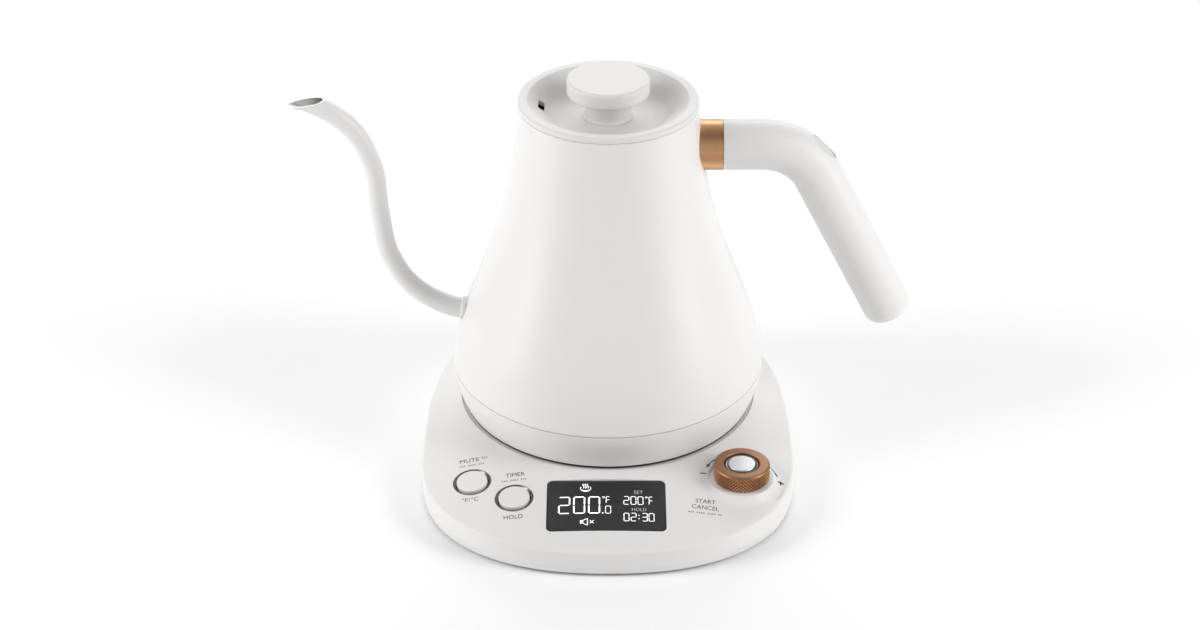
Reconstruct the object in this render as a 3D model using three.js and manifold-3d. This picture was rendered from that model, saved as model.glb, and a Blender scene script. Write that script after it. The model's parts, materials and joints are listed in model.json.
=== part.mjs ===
// Cordless gooseneck kettle standing on its heating base. Millimetres, +Z up.
// The origin is on the surface that the feet stand on, under the middle of the whole object.
// The controls face -Y, the spout points to -X and the handle to +X.
import * as THREE from 'three';
import { mergeVertices } from 'three/addons/utils/BufferGeometryUtils.js';
import Module from 'manifold-3d';

const wasm = await Module();
wasm.setup();

// Driving dimensions
const GAP = 0.3;
const KETTLE_AXIS = { x: 1, y: 18.5 };
const GROOVE_Z = 43;
const BODY_HEIGHT = 134;
const BODY_WALL = 1.2;
const LID_Z = GROOVE_Z + BODY_HEIGHT + GAP;

const SEAT_RADIUS = 71.2;
const SEAT_Z = 22.4;
const TOP_Z = 23;
const TOP_SLOPE = 0.158;
const BASE_HALF_WIDTH = 88;
const BASE_WAIST_Y = -50;
const BASE_FRONT = { depth: 74, power: 2.3 };
const BASE_BACK = { depth: 137, power: 2.7 };
const BASE_WALL = 2.4;
const BASE_BOTTOM_Z = 1.5;
const BOARD_Z = 5.5;
const BOARD_THICKNESS = 1.6;
const BOARD_TOP = BOARD_Z + BOARD_THICKNESS;

const LENS = { left: -28.1, right: 26.3, front: -110.6, back: -77.8, corner: 2.5, thickness: 2 };
const DIAL = { x: 62, y: -73.7, radius: 13.15, bottom: 20.5, top: 28.5, bore: 8.2 };
const PEDESTAL_RADIUS = 15.6;
const BUTTON_RADIUS = 7.15;
const WELL_RADIUS = 8.9;
const BUTTONS = [
  { name: 'unit', x: -63.5, y: -75.5 },
  { name: 'hold', x: -43.5, y: -88.3 },
];
const HOUSING_SCREWS = [
  { x: 79.5, y: -42.2 },
  { x: 51.4, y: 61.3 },
  { x: -51.4, y: 61.3 },
  { x: -79.5, y: -42.2 },
];
const FEET = [
  { x: 62, y: -60 },
  { x: 58, y: 38 },
  { x: -58, y: 38 },
  { x: -62, y: -60 },
];

const HANDLE_RADIUS = 11.7;
const HANDLE_Z = 156.1;
const HANDLE_START_X = 53.1;
const HANDLE_BEND_X = 70.9;
const HANDLE_BEND_RADIUS = 29.5;
const HANDLE_BEND_ANGLE = THREE.MathUtils.degToRad(62.6);
const HANDLE_LEG = 83.5;

const THUMB_REST = { alongBend: 23, halfLength: 7.8, halfWidth: 5.2, bottom: 9.2, top: 10.4 };

const FINE = 40;
const MEDIUM = 24;
const SMALL = 12;
const TINY = 8;
const OUTLINE_STEPS = 52;

// Materials
function finish(color, roughness, metalness) {
  return new THREE.MeshStandardMaterial({ color, roughness, metalness });
}

const whitePaint = finish(0xe4e1df, 0.45, 0);
const whitePlastic = finish(0xe6e3e1, 0.5, 0);
const darkPlastic = finish(0x2b2b2c, 0.5, 0);
const copper = finish(0xb87d50, 0.3, 1);
const steel = finish(0xb9bbbd, 0.3, 1);
const aluminium = finish(0xc6c8ca, 0.4, 1);
const brass = finish(0xc9a75a, 0.35, 1);
const rubber = finish(0x333333, 0.8, 0);
const silicone = finish(0xd9d9d6, 0.6, 0);
const lensGloss = finish(0x141516, 0.08, 0);
const circuitBoard = finish(0x2c5a3c, 0.6, 0);
const component = finish(0x3a3f46, 0.6, 0);
const thumbGrey = finish(0xc9c7c5, 0.55, 0);

const kettle = new THREE.Group();
kettle.position.set(KETTLE_AXIS.x, KETTLE_AXIS.y, 0);

function place(name, geometry, material) {
  const mesh = new THREE.Mesh(geometry, material);
  mesh.name = name;
  kettle.add(mesh);
}

// Solid helpers
function toSolid(source) {
  const geometry = source.clone();
  geometry.deleteAttribute('normal');
  geometry.deleteAttribute('uv');
  const merged = mergeVertices(geometry, 1e-4);
  const index = merged.index.array;
  const triangles = [];
  for (let i = 0; i < index.length; i += 3) {
    const [a, b, c] = index.subarray(i, i + 3);
    if (a !== b && b !== c && c !== a) {
      triangles.push(a, b, c);
    }
  }
  return new wasm.Manifold(new wasm.Mesh({
    numProp: 3,
    vertProperties: new Float32Array(merged.attributes.position.array),
    triVerts: new Uint32Array(triangles),
  }));
}

function toGeometry(solid) {
  const mesh = solid.getMesh();
  const geometry = new THREE.BufferGeometry();
  geometry.setAttribute('position', new THREE.BufferAttribute(mesh.vertProperties, 3));
  geometry.setIndex(new THREE.BufferAttribute(mesh.triVerts, 1));
  return geometry;
}

function cut(geometry, tools) {
  return toGeometry(tools.reduce((solid, tool) => solid.subtract(toSolid(tool)), toSolid(geometry)));
}

function join(geometry, extras) {
  return toGeometry(extras.reduce((solid, extra) => solid.add(toSolid(extra)), toSolid(geometry)));
}

function intersect(a, b) {
  return toGeometry(toSolid(a).intersect(toSolid(b)));
}

// A solid of revolution about Z from [radius, height] pairs, which may change with the angle.
function turnAt(profileAt, segments) {
  const count = profileAt(0).length;
  const points = profileAt(0).map(([r, z]) => new THREE.Vector2(r, z));
  const geometry = new THREE.LatheGeometry(points, segments);
  const position = geometry.attributes.position;
  for (let i = 0; i <= segments; i += 1) {
    const angle = (i % segments) / segments * Math.PI * 2;
    const profile = profileAt(angle);
    for (let j = 0; j < count; j += 1) {
      const [r, z] = profile[j];
      position.setXYZ(i * count + j, r * Math.sin(angle), z, r * Math.cos(angle));
    }
  }
  return geometry.rotateX(Math.PI / 2);
}

function turn(profile, segments) {
  return turnAt(() => profile, segments);
}

function closed(profile) {
  return [...profile, profile[0]];
}

function ring(inner, outer, bottom, top, segments = MEDIUM) {
  return turn(closed([[inner, bottom], [outer, bottom], [outer, top], [inner, top]]), segments);
}

function disc(radius, bottom, top, segments = MEDIUM) {
  return turn([[0, bottom], [radius, bottom], [radius, top], [0, top]], segments);
}

function box(width, depth, bottom, top, x, y) {
  const geometry = new THREE.BoxGeometry(width, depth, top - bottom);
  return geometry.translate(x, y, (top + bottom) / 2);
}

function screw(headRadius, headHeight, shankRadius, length) {
  return turn([
    [0, 0],
    [headRadius, 0],
    [headRadius, headHeight],
    [shankRadius, headHeight],
    [shankRadius, length],
    [0, length],
  ], TINY);
}

// Bends a solid that stands along Z so that its height follows a curve in the XZ plane.
function bend(geometry, frameAt) {
  const position = geometry.attributes.position;
  for (let i = 0; i < position.count; i += 1) {
    const { point, tangent } = frameAt(position.getZ(i));
    const offset = position.getX(i);
    position.setXYZ(
      i,
      point.x + tangent.z * offset,
      position.getY(i),
      point.z - tangent.x * offset,
    );
  }
  return geometry;
}

// Kettle body
const bodyCurve = new THREE.SplineCurve([
  new THREE.Vector2(75, 0),
  new THREE.Vector2(71.2, 18),
  new THREE.Vector2(62.8, 42),
  new THREE.Vector2(54, 66),
  new THREE.Vector2(47.5, 90),
  new THREE.Vector2(43.4, 114),
  new THREE.Vector2(41.75, 134),
]);

function bodyOutline(offset) {
  return bodyCurve.getPoints(10).map((p) => [p.x + offset, GROOVE_Z + p.y]);
}

function bodyEnvelope() {
  const outline = bodyOutline(GAP);
  return turn([[0, GROOVE_Z], ...outline, [0, GROOVE_Z + BODY_HEIGHT]], FINE);
}

function bodyShell() {
  const outer = bodyOutline(0);
  const inner = bodyOutline(-BODY_WALL).reverse();
  const spoutHole = disc(4.9, 0, 30, SMALL);
  spoutHole.rotateY(-Math.PI / 2);
  spoutHole.translate(-55, 0, 67.6);
  return cut(turn(closed([...outer, ...inner]), FINE), [spoutHole]);
}

function skirtRing() {
  const holes = coverScrewPlaces().map(({ x, y }) => disc(1.6, 20, 32, TINY).translate(x, y, 0));
  const profile = closed([
    [70.2, 23.9],
    [72.9, 31],
    [74.6, 38],
    [75, 42.7],
    [73, 42.7],
    [72.6, 38],
    [70.9, 31],
    [69.4, 28.6],
    [60, 28.6],
    [60, 26.3],
    [68.2, 26.3],
    [68.2, 23.9],
  ]);
  return cut(turn(profile, FINE), holes);
}

function coverScrewPlaces() {
  return [85, 205, 325].map((degrees) => {
    const angle = THREE.MathUtils.degToRad(degrees);
    return { x: 65 * Math.cos(angle), y: 65 * Math.sin(angle) };
  });
}

function kettleBottomCover() {
  const profile = closed([
    [69.9, 22.7],
    [69.9, 23.6],
    [67.9, 23.6],
    [67.9, 26],
    [20.3, 26],
    [20.3, 24.2],
    [59, 24.2],
    [60.5, 22.7],
  ]);
  const holes = coverScrewPlaces().flatMap(({ x, y }) => [
    disc(1.8, 20, 30, TINY).translate(x, y, 0),
    disc(2.9, 20, 24.7, TINY).translate(x, y, 0),
  ]);
  return cut(turn(profile, FINE), holes);
}

function heatingElement() {
  const points = [];
  for (let i = 0; i <= 20; i += 1) {
    const angle = THREE.MathUtils.degToRad(30 + i * 15);
    points.push(new THREE.Vector3(40 * Math.cos(angle), 40 * Math.sin(angle), 37.8));
  }
  const section = new THREE.Shape().absarc(0, 0, 3.5, 0, Math.PI * 2);
  return new THREE.ExtrudeGeometry(section, {
    extrudePath: new THREE.CatmullRomCurve3(points),
    steps: 20,
    curveSegments: 4,
  });
}

function kettleCoupling() {
  return turn([
    [0, 32],
    [17.8, 32],
    [17.8, 24],
    [19.9, 24],
    [19.9, 26.3],
    [24, 26.3],
    [24, 28.3],
    [21, 28.3],
    [21, 34.5],
    [0, 34.5],
  ], MEDIUM);
}

const PROBE = { x: 14, y: 14 };
const CUTOUT = { x: -16, y: -10 };

function addHeater() {
  const probeHole = disc(2.9, 30, 60, SMALL).translate(PROBE.x, PROBE.y, 0);
  place('heater_plate', cut(disc(72, 46, 47.5, FINE), [probeHole]), steel);
  place('heat_spreader', cut(disc(52, 41.7, 45.7, MEDIUM), [probeHole]), aluminium);
  place('heating_element', heatingElement(), steel);
  const probe = turn([[0, 39.5], [6, 39.5], [6, 41.4], [2.5, 41.4], [2.5, 55], [0, 57]], SMALL);
  place('temperature_probe', probe.translate(PROBE.x, PROBE.y, 0), steel);
  const cutout = disc(8, 35.5, 41.4, SMALL).translate(CUTOUT.x, CUTOUT.y, 0);
  place('thermal_cutout', cutout, aluminium);
}

function addKettleBody() {
  place('body_shell', bodyShell(), whitePaint);
  place('skirt_ring', skirtRing(), whitePaint);
  place('kettle_bottom_cover', kettleBottomCover(), darkPlastic);
  coverScrewPlaces().forEach(({ x, y }, i) => {
    place(`cover_screw_${i + 1}`, screw(2.6, 1.4, 1.3, 5).translate(x, y, 22.9), steel);
  });
  place('kettle_coupling', kettleCoupling(), darkPlastic);
}

// Spout
const spoutCurve = new THREE.CatmullRomCurve3([
  new THREE.Vector3(-60, 0, 67),
  new THREE.Vector3(-75.6, 0, 69.8),
  new THREE.Vector3(-94.2, 0, 82),
  new THREE.Vector3(-103.3, 0, 98),
  new THREE.Vector3(-107.3, 0, 121),
  new THREE.Vector3(-109.5, 0, 145),
  new THREE.Vector3(-118.5, 0, 164.5),
  new THREE.Vector3(-135, 0, 176.5),
  new THREE.Vector3(-150, 0, 179.6),
]);
const SPOUT_LENGTH = spoutCurve.getLength();
const SPOUT_SPANS = 20;
const SPOUT_LIP = { x: -145.7, z: 174.4 };
const SPOUT_LIP_ANGLE = THREE.MathUtils.degToRad(17.5);

function spoutRadius(s) {
  const taper = THREE.MathUtils.smoothstep(s, 8, 48);
  return THREE.MathUtils.lerp(6, 4.65, taper);
}

function spoutTube() {
  const stations = Array.from({ length: SPOUT_SPANS + 1 }, (_, i) => i / SPOUT_SPANS * SPOUT_LENGTH);
  const outer = stations.map((s) => [spoutRadius(s), s]);
  const inner = stations.map((s) => [spoutRadius(s) - 1, s]).reverse();
  const tube = bend(turn(closed([...outer, ...inner]), SMALL), (s) => {
    const u = THREE.MathUtils.clamp(s / SPOUT_LENGTH, 0, 1);
    return { point: spoutCurve.getPointAt(u), tangent: spoutCurve.getTangentAt(u) };
  });
  const above = new THREE.BoxGeometry(60, 30, 30).translate(0, 0, 15);
  above.rotateY(-SPOUT_LIP_ANGLE).translate(SPOUT_LIP.x, 0, SPOUT_LIP.z);
  return cut(tube, [bodyEnvelope(), above]);
}

// Handle: a straight root, one bend and a straight leg
function handleFrame(s) {
  const bendLength = HANDLE_BEND_RADIUS * HANDLE_BEND_ANGLE;
  const root = HANDLE_BEND_X - HANDLE_START_X;
  const angle = THREE.MathUtils.clamp((s - root) / HANDLE_BEND_RADIUS, 0, HANDLE_BEND_ANGLE);
  const straight = Math.min(s, root);
  const leg = Math.max(0, s - root - bendLength);
  const tangent = new THREE.Vector3(Math.cos(angle), 0, -Math.sin(angle));
  const point = new THREE.Vector3(
    HANDLE_START_X + straight + HANDLE_BEND_RADIUS * Math.sin(angle) + leg * tangent.x,
    0,
    HANDLE_Z - HANDLE_BEND_RADIUS * (1 - Math.cos(angle)) + leg * tangent.z,
  );
  return { point, tangent };
}

function handleSweep(radius, boreRadius) {
  const root = HANDLE_BEND_X - HANDLE_START_X;
  const bendLength = HANDLE_BEND_RADIUS * HANDLE_BEND_ANGLE;
  const end = root + bendLength + HANDLE_LEG;
  const sides = Array.from({ length: 8 }, (_, i) => [radius, root + i / 7 * bendLength]);
  const rounding = [0, 30, 60, 90].map((degrees) => {
    const angle = THREE.MathUtils.degToRad(degrees);
    return [radius - 5.5 * (1 - Math.cos(angle)), end - 5.5 * (1 - Math.sin(angle))];
  });
  const bore = [[0, 17], [boreRadius, 17], [boreRadius, 0]];
  return bend(turn([...bore, [radius, 0], ...sides, ...rounding, [0, end + 0.8]], 20), handleFrame);
}

// An oval post square to the outside of the bend, between two distances from the centreline.
function thumbPost(margin, inner, outer) {
  const oval = new THREE.CylinderGeometry(1, 1, outer - inner, 20).rotateX(Math.PI / 2);
  oval.scale(THUMB_REST.halfLength + margin, THUMB_REST.halfWidth + margin, 1);
  const { point, tangent } = handleFrame(HANDLE_BEND_X - HANDLE_START_X + THUMB_REST.alongBend);
  oval.translate(0, 0, (inner + outer) / 2).rotateY(Math.atan2(-tangent.z, tangent.x));
  return oval.translate(point.x, 0, point.z);
}

function handleGrip() {
  return cut(handleSweep(HANDLE_RADIUS, 8), [
    thumbPost(GAP, THUMB_REST.bottom - GAP, 30),
    disc(3.1, 138, 147, SMALL).translate(62, 0, 0),
    disc(1.8, 138, HANDLE_Z, TINY).translate(62, 0, 0),
  ]);
}

function alongX(geometry) {
  return geometry.rotateY(Math.PI / 2).translate(0, 0, HANDLE_Z);
}

function addHandle() {
  const collar = alongX(ring(7.9, HANDLE_RADIUS, 38, HANDLE_START_X - GAP));
  place('handle_collar', cut(collar, [bodyEnvelope()]), copper);
  const bracket = alongX(disc(7.5, 38, 69.6));
  const thread = disc(1.8, 138, HANDLE_Z + 1, TINY).translate(62, 0, 0);
  place('handle_bracket', cut(bracket, [bodyEnvelope(), thread]), steel);
  place('handle_grip', handleGrip(), whitePlastic);
  place('thumb_rest', thumbPost(0, THUMB_REST.bottom, THUMB_REST.top), thumbGrey);
  place('handle_screw', screw(2.8, 2, 1.5, 8).translate(62, 0, 144.7), steel);
}

// Lid
function lidCover() {
  const profile = closed([
    [39.9, 163],
    [39.9, 166.7],
    [38.6, 166.7],
    [38.6, 171.3],
    [39.9, 171.3],
    [39.9, LID_Z],
    [41.6, LID_Z],
    [41.6, LID_Z + 1.9],
    [41, LID_Z + 2.6],
    [35.3, LID_Z + 2.6],
    [28, 171.3],
    [2.2, 171.3],
    [2.2, 169.7],
    [27.3, 169.7],
    [33.6, LID_Z],
    [37, LID_Z],
    [37, 163],
  ]);
  const vent = box(9, 6, 173.4, 176.6, -31.4, 0);
  return cut(turn(profile, FINE), [vent]);
}

function addLid() {
  place('lid_cover', lidCover(), whitePlastic);
  const steamHole = disc(2, 160, 168, TINY).translate(-20, 0, 0);
  place('lid_inner_plate', cut(disc(36.6, 163.2, 164.6), [steamHole]), steel);
  place('lid_seal', ring(39, 40.25, 167, 171, FINE), silicone);
  place('lid_knob_neck', ring(2.2, 10.8, 171.6, 180.6), whitePlastic);
  const knob = turn([
    [0, 187],
    [2.2, 187],
    [2.2, 180.9],
    [12.3, 180.9],
    [12.3, 182.3],
    [18, 182.3],
    [19, 183.2],
    [19, 189],
    [18, 190],
    [0, 190],
  ], MEDIUM);
  place('lid_knob', knob, whitePlastic);
  place('lid_knob_screw', screw(4, 1.5, 1.9, 18).translate(0, 0, 167.9), steel);
}

// Base outline: two half superellipses that meet at the widest place
function outlineRadius(angle) {
  const side = Math.abs(Math.sin(angle));
  const forward = Math.cos(angle);
  let low = 50;
  let high = 160;
  for (let i = 0; i < 30; i += 1) {
    const r = (low + high) / 2;
    const y = -r * forward - BASE_WAIST_Y;
    const { depth, power } = y < 0 ? BASE_FRONT : BASE_BACK;
    const value = (r * side / BASE_HALF_WIDTH) ** power + (Math.abs(y) / depth) ** power;
    if (value < 1) {
      low = r;
    } else {
      high = r;
    }
  }
  return low;
}

function topZ(r) {
  return TOP_Z - TOP_SLOPE * (r - SEAT_RADIUS);
}

function topZAt(x, y) {
  return topZ(Math.hypot(x, y));
}

// Stands a solid made at the origin on the sloping top, square to it.
function onTop(geometry, { x, y }) {
  const normal = new THREE.Vector3(x, y, 0).normalize().multiplyScalar(TOP_SLOPE).setZ(1).normalize();
  const turnTo = new THREE.Quaternion().setFromUnitVectors(new THREE.Vector3(0, 0, 1), normal);
  return geometry.applyQuaternion(turnTo).translate(x, y, topZAt(x, y));
}

function lensPrism(margin) {
  const left = LENS.left - margin;
  const right = LENS.right + margin;
  const front = LENS.front - margin;
  const back = LENS.back + margin;
  const c = LENS.corner + margin;
  const shape = new THREE.Shape();
  shape.absarc(right - c, back - c, c, 0, Math.PI / 2);
  shape.absarc(left + c, back - c, c, Math.PI / 2, Math.PI);
  shape.absarc(left + c, front + c, c, Math.PI, Math.PI * 1.5);
  shape.absarc(right - c, front + c, c, Math.PI * 1.5, Math.PI * 2);
  return new THREE.ExtrudeGeometry(shape, { depth: 40, bevelEnabled: false, curveSegments: 4 });
}

function displayLens() {
  const layer = ring(75, 122, 0, 1, OUTLINE_STEPS);
  const position = layer.attributes.position;
  for (let i = 0; i < position.count; i += 1) {
    const top = topZAt(position.getX(i), position.getY(i));
    position.setZ(i, top - LENS.thickness * (1 - position.getZ(i)));
  }
  return intersect(layer, lensPrism(0));
}

function housingProfile(angle) {
  const r = outlineRadius(angle);
  const edge = topZ(r);
  return closed([
    [r - 0.8, BASE_BOTTOM_Z],
    [r, 4.5],
    [r, edge - 3],
    [r - 0.9, edge - 0.75],
    [r - 3, topZ(r - 3)],
    [SEAT_RADIUS + 0.5, TOP_Z],
    [SEAT_RADIUS, SEAT_Z],
    [17.4, SEAT_Z],
    [17.4, SEAT_Z - BASE_WALL],
    [SEAT_RADIUS, SEAT_Z - BASE_WALL],
    [r - 4, topZ(r - 4) - BASE_WALL],
    [r - BASE_WALL, edge - 5],
    [r - BASE_WALL - 0.4, BASE_BOTTOM_Z],
  ]);
}

function baseHousing() {
  const shell = turnAt(housingProfile, OUTLINE_STEPS);
  const dialX = DIAL.x;
  const dialY = DIAL.y;
  const pedestal = turn([
    [0, 16.8],
    [PEDESTAL_RADIUS + 1.5, 16.8],
    [PEDESTAL_RADIUS, 18.6],
    [PEDESTAL_RADIUS - 0.6, DIAL.bottom - GAP],
    [0, DIAL.bottom - GAP],
  ], MEDIUM);
  const bosses = HOUSING_SCREWS.map(({ x, y }) => {
    return disc(3.6, 6.5, topZAt(x, y) - 1.4, TINY).translate(x, y, 0);
  });
  const bores = HOUSING_SCREWS.map(({ x, y }) => disc(1.7, 0, 16, TINY).translate(x, y, 0));
  const wells = BUTTONS.map((button) => onTop(disc(WELL_RADIUS + GAP, -10, 10, 24), button));
  const cordHole = disc(5.8, 0, 30, SMALL).rotateX(-Math.PI / 2).translate(0, 70, CORD_Z);
  const dialHole = disc(8.4, 0, 40, 24).translate(dialX, dialY, 0);
  const dialRoom = disc(DIAL.radius + 0.6, DIAL.bottom - GAP, 40).translate(dialX, dialY, 0);
  const solid = join(shell, [pedestal.translate(dialX, dialY, 0), ...bosses]);
  return cut(solid, [lensPrism(GAP), dialHole, dialRoom, cordHole, ...bores, ...wells]);
}

const CORD_Z = 11;

function baseBottomCover() {
  const inset = BASE_WALL + 0.4 + GAP;
  const plate = turnAt((angle) => {
    const r = outlineRadius(angle) - inset;
    return [[0, 2], [r, 2], [r, 4], [0, 4]];
  }, OUTLINE_STEPS);
  const pegHoles = FEET.map(({ x, y }) => disc(2.4, 0, 10, TINY).translate(x, y, 0));
  const screwHoles = HOUSING_SCREWS.map(({ x, y }) => disc(1.7, 0, 10, TINY).translate(x, y, 0));
  return cut(plate, [...pegHoles, ...screwHoles]);
}

function foot() {
  return turn([[0, 0], [6.5, 0], [7, 0.5], [7, 1.7], [2.1, 1.7], [2.1, 5.2], [0, 5.2]], SMALL);
}

function baseConnector() {
  return turn([
    [0, 12],
    [17, 12],
    [17, 17.5],
    [22, 17.5],
    [22, 19.7],
    [17, 19.7],
    [17, 31.4],
    [12, 31.4],
    [12, 20],
    [9, 20],
    [9, 31.4],
    [4, 31.4],
    [4, 20],
    [0, 20],
  ], MEDIUM);
}

function cordGland() {
  const profile = closed([[3.4, -16], [6.6, -16], [6.6, -14], [5.5, -14], [5.5, 0], [4.4, 0]]);
  return turn(profile, 20).rotateX(-Math.PI / 2).translate(0, 86.6, CORD_Z);
}

// The control board is a crescent under the display, the buttons and the dial.
function controlBoard() {
  const shape = new THREE.Shape();
  const limit = THREE.MathUtils.degToRad(54);
  const steps = 10;
  for (let i = 0; i <= steps; i += 1) {
    const angle = -limit + 2 * limit * i / steps;
    const r = outlineRadius(angle) - 9;
    shape.lineTo(r * Math.sin(angle), -r * Math.cos(angle));
  }
  for (let i = steps; i >= 0; i -= 1) {
    const angle = -limit + 2 * limit * i / steps;
    shape.lineTo(66 * Math.sin(angle), -66 * Math.cos(angle));
  }
  const board = new THREE.ExtrudeGeometry(shape, { depth: BOARD_THICKNESS, bevelEnabled: false });
  board.translate(0, 0, BOARD_Z);
  const pegs = FEET.filter(({ y }) => y < 0);
  return cut(board, pegs.map(({ x, y }) => disc(3, 0, 20, TINY).translate(x, y, 0)));
}

function displayModule() {
  const module = new THREE.BoxGeometry(50, 26, 3.2);
  const x = (LENS.left + LENS.right) / 2;
  const y = (LENS.front + LENS.back) / 2;
  module.rotateX(Math.atan(TOP_SLOPE));
  return module.translate(x, y, topZ(-y) - 5.4);
}

function addBaseCase() {
  place('base_housing', baseHousing(), whitePlastic);
  place('base_bottom_cover', baseBottomCover(), darkPlastic);
  place('base_connector', baseConnector(), darkPlastic);
  place('contact_pin', turn([[0, 20.3], [2.2, 20.3], [2.2, 29.2], [1.4, 30], [0, 30]], SMALL), brass);
  place('contact_ring', ring(10, 11, 20.3, 30, 24), brass);
  place('cord_gland', cordGland(), darkPlastic);
  FEET.forEach(({ x, y }, i) => {
    place(`foot_${i + 1}`, foot().translate(x, y, 0), rubber);
  });
  HOUSING_SCREWS.forEach(({ x, y }, i) => {
    place(`housing_screw_${i + 1}`, screw(3, 1.4, 1.4, 8).translate(x, y, 0.3), steel);
  });
}

function addElectronics() {
  const top = BOARD_TOP + GAP;
  place('display_lens', displayLens(), lensGloss);
  place('display_module', displayModule(), component);
  place('control_board', controlBoard(), circuitBoard);
  place('power_board', box(84, 34, BOARD_Z, BOARD_TOP, 0, 42), circuitBoard);
  place('relay', box(19, 15, top, 18, -28, 44), component);
  place('transformer', box(22, 20, top, 18.5, 22, 42), component);
  place('buzzer', disc(6, top, 13, SMALL).translate(38, -84, 0), component);
  BUTTONS.forEach(({ name, x, y }) => {
    place(`${name}_switch`, box(6, 6, top, 9.6, x, y), component);
  });
}

// Controls
const WELL_PROFILE = closed([
  [2.8, -4.4],
  [WELL_RADIUS, -4.4],
  [WELL_RADIUS, -0.8],
  [BUTTON_RADIUS + GAP, -0.8],
  [BUTTON_RADIUS + GAP, -3.2],
  [2.8, -3.2],
]);
const BUTTON_PROFILE = [
  [0, -6.6],
  [2.3, -6.6],
  [2.3, -1.9],
  [BUTTON_RADIUS, -1.9],
  [BUTTON_RADIUS, 0.5],
  [BUTTON_RADIUS - 0.4, 0.9],
  [0, 0.9],
];

function addButtons() {
  BUTTONS.forEach((button) => {
    place(`${button.name}_button_well`, onTop(turn(WELL_PROFILE, 18), button), darkPlastic);
    place(`${button.name}_button`, onTop(turn(BUTTON_PROFILE, 18), button), whitePlastic);
  });
}

function addDial() {
  const put = (geometry) => geometry.translate(DIAL.x, DIAL.y, 0);
  const dial = closed([
    [DIAL.bore, DIAL.bottom],
    [DIAL.radius - 0.5, DIAL.bottom],
    [DIAL.radius, DIAL.bottom + 0.5],
    [DIAL.radius, DIAL.top - 1],
    [DIAL.radius - 1, DIAL.top],
    [DIAL.bore, DIAL.top],
  ]);
  place('dial_knob', put(turn(dial, MEDIUM)), copper);
  place('dial_sleeve', put(ring(6.8, DIAL.bore - GAP, 15, DIAL.top - 0.9)), darkPlastic);
  const button = turn([
    [0, 11.6],
    [2, 11.6],
    [2, 25],
    [6.4, 25],
    [6.4, DIAL.top - 0.3],
    [0, DIAL.top - 0.3],
  ], 24);
  place('dial_button', put(button), aluminium);
  place('rotary_encoder', put(ring(3.3, 7.6, BOARD_TOP + GAP, 14.6, 20)), component);
  place('start_switch', put(disc(2.8, BOARD_TOP + GAP, 10.2, TINY)), component);
}

addKettleBody();
addHeater();
place('spout_tube', spoutTube(), whitePaint);
addHandle();
addLid();
addBaseCase();
addElectronics();
addButtons();
addDial();

const model = new THREE.Group();
model.add(kettle);
export default model;
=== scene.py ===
"""Looks of the cordless gooseneck kettle on its heating base.

Lengths are written in millimetres and scaled once, by MM. Shapes are built about the kettle's
own axis, with heights measured from the floor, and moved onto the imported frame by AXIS.
"""

import json
import math

import bpy
import bmesh
import numpy as np
from mathutils import Matrix, Vector


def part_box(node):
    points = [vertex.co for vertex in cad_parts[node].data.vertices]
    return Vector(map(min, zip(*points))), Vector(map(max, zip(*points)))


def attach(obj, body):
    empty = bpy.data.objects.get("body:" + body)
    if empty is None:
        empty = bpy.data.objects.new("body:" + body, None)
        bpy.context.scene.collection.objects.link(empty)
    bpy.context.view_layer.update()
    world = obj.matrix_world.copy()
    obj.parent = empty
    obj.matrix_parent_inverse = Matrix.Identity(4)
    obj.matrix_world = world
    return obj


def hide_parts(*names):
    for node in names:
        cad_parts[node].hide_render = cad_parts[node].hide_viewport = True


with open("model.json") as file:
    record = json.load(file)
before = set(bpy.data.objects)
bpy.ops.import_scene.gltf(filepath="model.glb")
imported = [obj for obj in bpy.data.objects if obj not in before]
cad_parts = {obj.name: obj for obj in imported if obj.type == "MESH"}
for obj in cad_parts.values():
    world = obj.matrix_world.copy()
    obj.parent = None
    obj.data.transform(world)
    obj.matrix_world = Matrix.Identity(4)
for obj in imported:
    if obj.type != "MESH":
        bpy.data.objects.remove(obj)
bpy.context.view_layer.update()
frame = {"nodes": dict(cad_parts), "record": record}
MM = 0.001


def mm_box(node):
    low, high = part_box(node)
    return np.array(low) / MM, np.array(high) / MM


def centre_of(node):
    low, high = mm_box(node)
    return (low + high) / 2


ZERO = np.zeros(3)

# Driving places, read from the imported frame
BODY_LOW, BODY_HIGH = mm_box("body_shell")
AXIS = np.array([*centre_of("body_shell")[:2], 0.0])
GROOVE_Z = BODY_LOW[2]
NECK_Z = BODY_HIGH[2]
BASE_LOW, BASE_HIGH = mm_box("base_housing")
BASE_HALF_WIDTH = (BASE_HIGH[0] - BASE_LOW[0]) / 2
DIAL_CENTRE = centre_of("dial_knob") - AXIS
DIAL_LOW, DIAL_HIGH = mm_box("dial_knob")
DIAL_RADIUS = (DIAL_HIGH[0] - DIAL_LOW[0]) / 2
UNIT_CENTRE = centre_of("unit_button_well") - AXIS
HOLD_CENTRE = centre_of("hold_button_well") - AXIS
LENS_LOW, LENS_HIGH = [point - AXIS for point in mm_box("display_lens")]
COLLAR_LOW, COLLAR_HIGH = mm_box("handle_collar")
HANDLE_Z = centre_of("handle_collar")[2]
COLLAR_END = COLLAR_HIGH[0] - AXIS[0]
HANDLE_RADIUS = (COLLAR_HIGH[2] - COLLAR_LOW[2]) / 2
GRIP_X = mm_box("handle_grip")[0][0] - AXIS[0]

# Base surface: a gentle cone that falls away from the kettle's seat
SEAT_RADIUS = 71.2
SEAT_Z = 22.4
TOP_Z = BASE_HIGH[2]
TOP_SLOPE = 0.158

# Base outline: two half ovals of their own depth and power, which meet at the widest place
WAIST_Y = -50.0
FRONT_DEPTH = WAIST_Y - (BASE_LOW[1] - AXIS[1])
BACK_DEPTH = (BASE_HIGH[1] - AXIS[1]) - WAIST_Y
FRONT_POWER = 2.3
BACK_POWER = 2.7

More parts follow.
